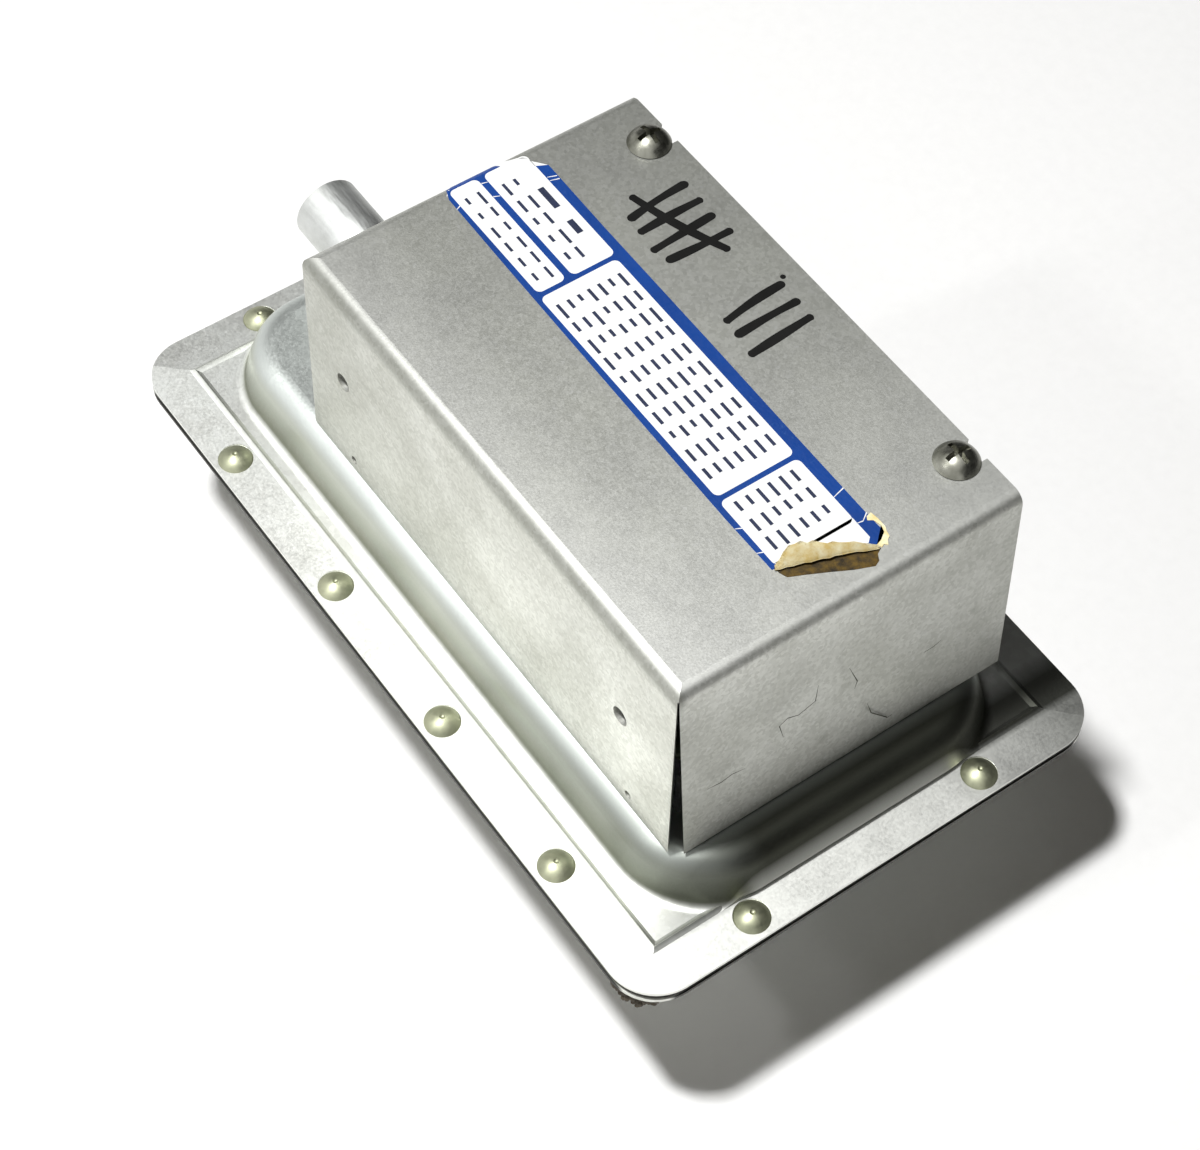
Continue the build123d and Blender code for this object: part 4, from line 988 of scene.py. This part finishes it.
@dataclass
class WallScratches(SubAssembly):
    """Fine scratches scored into the cover's near wall."""

    width_mm: float = 0.22
    gap: float = 0.002 * MM
    film: float = 0.015 * MM
    tip_share: float = 0.25
    lines: tuple[Outline, ...] = (
        ((-5.8, 76.5), (-5.9, 72.0), (-9.1, 70.8), (-11.4, 71.9), (-12.9, 70.9), (-11.7, 66.6)),
        ((6.0, 60.7), (7.3, 56.8), (11.4, 51.7), (12.4, 51.7)),
        ((-26.5, 64.6), (-23.7, 64.1), (-21.6, 64.6), (-19.0, 63.9)),
        ((16.8, 66.4), (18.9, 66.4), (20.4, 67.1)),
        ((0.4, 76.0), (2.7, 70.3), (2.4, 68.3)))

    def build(self) -> None:
        """Lay each scratch on the wall as a thin dark film that tapers at its ends."""
        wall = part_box("cover")[1].x
        mesh = bmesh.new()
        for line in self.lines:
            left, right = [], []
            for i, (y, z) in enumerate(line):
                (ya, za), (yb, zb) = line[max(i - 1, 0)], line[min(i + 1, len(line) - 1)]
                length = math.hypot(yb - ya, zb - za)
                half = self.width_mm / 2 * (self.tip_share if i in (0, len(line) - 1) else 1.0)
                u, v = (zb - za) / length * half, (ya - yb) / length * half
                left.append((y + u, z + v))
                right.append((y - u, z - v))
            self.flat(left + right[::-1], self.gap, self.film,
                      lambda y, z, rise: Vector((wall + rise, y, z)), (), mesh)
        self.piece("wall_scratches", mesh, Coat.SCRATCH)


@dataclass
class ScrewThreads:
    """Threads on the free lengths of the screws. Sizes are radius, length and pitch."""

    ridge: float = 0.14 * MM
    cover_screw: Point = (41.5 * MM, 31.5 * MM)
    cover_sizes: Place = (2.02 * MM, 3.6 * MM, 0.79 * MM)
    ground_sizes: Place = (2.02 * MM, 2.0 * MM, 0.79 * MM)
    set_point_sizes: Place = (2.47 * MM, 9.6 * MM, 1.0 * MM)
    tip: float = 0.7 * MM
    set_point_tip: float = 0.9 * MM

    def build(self) -> None:
        """Wind each thread as a fine helix on its shank."""
        tree = GeometryTree("screw thread", Radius="Float", Length="Float", Pitch="Float",
                            Ridge="Float", Turn="Vector")
        sockets = tree.inputs
        turns = tree.add("ShaderNodeMath", {0: sockets["Length"], 1: sockets["Pitch"]},
                         operation="DIVIDE")
        helix = tree.add("GeometryNodeCurveSpiral", {
            "Resolution": 20, "Rotations": turns, "Start Radius": sockets["Radius"],
            "End Radius": sockets["Radius"], "Height": sockets["Length"]})
        profile = tree.add("GeometryNodeCurvePrimitiveCircle", {"Resolution": 5,
                                                                "Radius": sockets["Ridge"]})
        wound = tree.add("GeometryNodeCurveToMesh", {
            "Curve": helix, "Profile Curve": profile, "Fill Caps": True})
        tree.close(tree.add("GeometryNodeInstanceOnPoints", {
            "Points": sockets["Geometry"], "Instance": wound, "Rotation": sockets["Turn"]}))
        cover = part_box("cover_screws")[0]
        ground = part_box("ground_screw")
        set_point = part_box("set_point_screw")
        x, y = self.cover_screw
        upright, sideways = (0.0, 0.0, 0.0), (math.pi / 2, 0.0, 0.0)
        middle, shank = (ground[0] + ground[1]) / 2, (set_point[0] + set_point[1]) / 2
        for name, starts, sizes, turn, body, coat, slot in (
                ("cover_screw_threads", [(s * x, y, cover.z + self.tip) for s in (-1, 1)],
                 self.cover_sizes, upright, "housing", Coat.SCREW, "screw_steel"),
                ("ground_screw_thread", [(middle.x, ground[1].y - self.tip, middle.z)],
                 self.ground_sizes, sideways, "housing", Coat.GREEN, "ground_green"),
                ("set_point_thread", [(shank.x, shank.y, set_point[0].z + self.set_point_tip)],
                 self.set_point_sizes, upright, "set_point_screw", Coat.BRASS, "bushing_brass")):
            radius, length, pitch = sizes
            tree.grow(name, [Vector(start) for start in starts], {
                "Radius": radius, "Length": length, "Pitch": pitch, "Ridge": self.ridge,
                "Turn": turn}, coat, body, slot)


@dataclass
class RangeSpring:
    """Compression spring with closed ends."""

    coil_r: float = 4.2 * MM
    wire_r: float = 0.5 * MM
    slack: float = 0.98
    turns: int = 6
    closed_turns: float = 0.9
    opening_turns: float = 0.35
    closed_pitch: float = 1.04
    open_pitch: float = 1.9
    steps_per_turn: int = 36
    nut_travel: float = 6.0 * MM

    def line(self) -> list[Vector]:
        """Middle of the wire, from the cup to the nut."""
        low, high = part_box("calibration_spring")
        centre = (low + high) / 2
        count = self.turns * self.steps_per_turn
        rises = []
        for i in range(count):
            from_end = min(i + 0.5, count - i - 0.5) / self.steps_per_turn
            opened = min(max((from_end - self.closed_turns) / self.opening_turns, 0.0), 1.0)
            rises.append(self.closed_pitch + self.open_pitch * opened)
        scale = (high.z - low.z - 2 * self.wire_r) / sum(rises)
        points, z = [], low.z + self.wire_r
        for i in range(count + 1):
            a = 2 * math.pi * i / self.steps_per_turn
            points.append(Vector((centre.x + self.coil_r * math.cos(a),
                                  centre.y + self.coil_r * math.sin(a), z)))
            z += rises[min(i, count - 1)] * scale
        return points

    def build(self) -> None:
        """Draw the wire along its line and hide the CAD spring."""
        tree = GeometryTree("range spring", Wire="Float")
        tree.close(tree.add("GeometryNodeCurveToMesh", {
            "Curve": tree.add("GeometryNodeMeshToCurve", {"Mesh": tree.inputs["Geometry"]}),
            "Profile Curve": tree.add("GeometryNodeCurvePrimitiveCircle", {
                "Resolution": 12, "Radius": tree.inputs["Wire"]}), "Fill Caps": True}))
        spring = tree.grow("range_spring", self.line(), {"Wire": self.wire_r * self.slack},
                           Coat.SPRING, slot="spring_steel", joined=True)
        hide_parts("calibration_spring")
        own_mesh(spring)


@dataclass
class Studio:
    """Pale table, white surroundings, soft lamps and the camera."""

    lamp_aim: Vector = field(default_factory=lambda: Vector((-0.005, 0.0, 0.045)))
    # Each lamp: name, place, side and power in watts.
    lamps: tuple[tuple[str, Place, float, float], ...] = (
        ("key", (-0.135, -0.304, 1.15), 0.10, 15.0),
        ("front fill", (-0.20, -0.86, 0.90), 0.08, 1.15),
        ("low front fill", (-0.22, -0.98, 0.72), 0.08, 0.5))
    # Each card, which shows in the metal: name, place, width, height and glow, where 1 is white.
    cards: tuple[tuple[str, Place, float, float, float], ...] = (
        ("dark flag", (0.72, 0.46, 0.46), 1.5, 1.0, 0.02),
        ("dark side", (-0.15, 0.90, 0.26), 1.9, 0.75, 0.03),
        ("grey panel", (-0.62, 0.50, 0.95), 2.2, 1.7, 0.06))
    table_half: float = 3.0
    fill: float = 0.06
    fill_tint: tuple[float, ...] = (1.0, 0.86, 0.70, 1.0)
    camera_place: Vector = field(default_factory=lambda: Vector((0.22363, -0.17805, 0.44228)))
    right: Place = (0.5776905, 0.8158228, 0.0265853)
    up: Place = (-0.6769498, 0.4606466, 0.5740589)
    back: Place = (0.4560839, -0.3496253, 0.8183823)
    sensor_mm: float = 36.0
    focal_px: float = 2807.95
    frame_px: float = 1200.0

    def build(self) -> None:
        """Set up everything round the switch."""
        s = Surface("matt white table")
        colour = s.tinted("#FBFBFA", s.patterns((3.0, 3.0, 0.6))[0], WIDE, "#F8F8F7")
        half = self.table_half
        self.staged("table", [(-half, -half, 0.0), (half, -half, 0.0), (half, half, 0.0),
                              (-half, half, 0.0)], s.finish(colour, 0.9, Specular_IOR_Level=0.1))
        self.surroundings()
        for name, place, size, energy in self.lamps:
            data = bpy.data.lights.new(name, "AREA")
            data.size = size
            data.energy = energy
            lamp = put(name, data)
            lamp.location = place
            lamp.rotation_euler = (self.lamp_aim - lamp.location).to_track_quat(
                "-Z", "Y").to_euler()
        for card in self.cards:
            self.card(*card)
        self.camera()
        bpy.context.scene.view_settings.view_transform = "Standard"

    def staged(self, name: str, corners: Sequence[Sequence[float]],
               material: bpy.types.Material) -> None:
        """Flat piece of the stage, which isn't part of the switch.

        Args:
            name: its name.
            corners: its corners, anticlockwise from its front.
            material: its finish.
        """
        data = bpy.data.meshes.new(name)
        data.from_pydata(corners, [], [range(len(corners))])
        data.materials.append(material)
        put(name, data)

    def surroundings(self) -> None:
        """White to the camera, in reflections and through glass, a soft warm fill otherwise."""
        world = bpy.data.worlds.new("studio")
        world.use_nodes = True
        tree = world.node_tree
        tree.nodes.clear()
        rays = add_node(tree, "ShaderNodeLightPath").outputs
        seen = rays["Is Camera Ray"]
        for ray in ("Is Glossy Ray", "Is Transmission Ray"):
            seen = add_node(tree, "ShaderNodeMath", {0: seen, 1: rays[ray]},
                            operation="MAXIMUM").outputs[0]
        strength = add_node(tree, "ShaderNodeMapRange", {0: seen, 3: self.fill, 4: 1.0})
        tint = add_node(tree, "ShaderNodeMix", {0: seen, 6: self.fill_tint, 7: (1.0,) * 4},
                        data_type="RGBA")
        shell = add_node(tree, "ShaderNodeBackground", {"Color": tint.outputs[2],
                                                        "Strength": strength.outputs[0]})
        add_node(tree, "ShaderNodeOutputWorld", {0: shell.outputs[0]})
        bpy.context.scene.world = world

    def card(self, name: str, place: Place, width: float, height: float, glow: float) -> None:
        """Flat studio card that faces the switch.

        Args:
            name: the card's name.
            place: its middle.
            width: its size across.
            height: its size upwards.
            glow: how bright it looks, where 1 is white.
        """
        middle = Vector(place)
        across = Vector((0.0, 0.0, 1.0)).cross(middle).normalized()
        up = middle.cross(across).normalized()
        corners = [middle + across * (u * width / 2) + up * (v * height / 2)
                   for u, v in ((-1, -1), (1, -1), (1, 1), (-1, 1))]
        material = bpy.data.materials.new(name)
        material.use_nodes = True
        tree = material.node_tree
        tree.nodes.clear()
        light = add_node(tree, "ShaderNodeEmission", {"Strength": glow})
        add_node(tree, "ShaderNodeOutputMaterial", {"Surface": light.outputs[0]})
        self.staged(name, corners, material)

    def camera(self) -> None:
        """Camera at the photograph's viewing angle."""
        data = bpy.data.cameras.new("camera")
        data.sensor_fit = "HORIZONTAL"
        data.sensor_width = self.sensor_mm
        data.lens = self.sensor_mm * self.focal_px / self.frame_px
        data.clip_start = 0.01
        camera = put("camera", data)
        axes = Matrix((self.right, self.up, self.back)).transposed()
        camera.matrix_world = Matrix.Translation(self.camera_place) @ axes.to_4x4()
        bpy.context.scene.camera = camera


def dress_nodes() -> None:
    """Give every carried-over piece its finish."""
    for coat, names in NODE_COATS.items():
        for name in names:
            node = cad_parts[name]
            if not node.material_slots:
                node.data.materials.append(coat.built())
            for slot in node.material_slots:
                slot.material = coat.built()
            log.info("node %s: %s", name, coat.value.name)


def main() -> None:
    """Dress the switch, add its details and set up the studio."""
    logging.basicConfig(level=logging.INFO, format="%(message)s")
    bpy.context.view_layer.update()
    dress_nodes()
    sheet = CoverTop()
    for part in (CoverLabel(sheet), MarkerTally(sheet), WallScratches(), RimCrust(),
                 ScrewThreads(), RangeSpring(), Studio()):
        part.build()


if __name__ == "__main__":
    main()
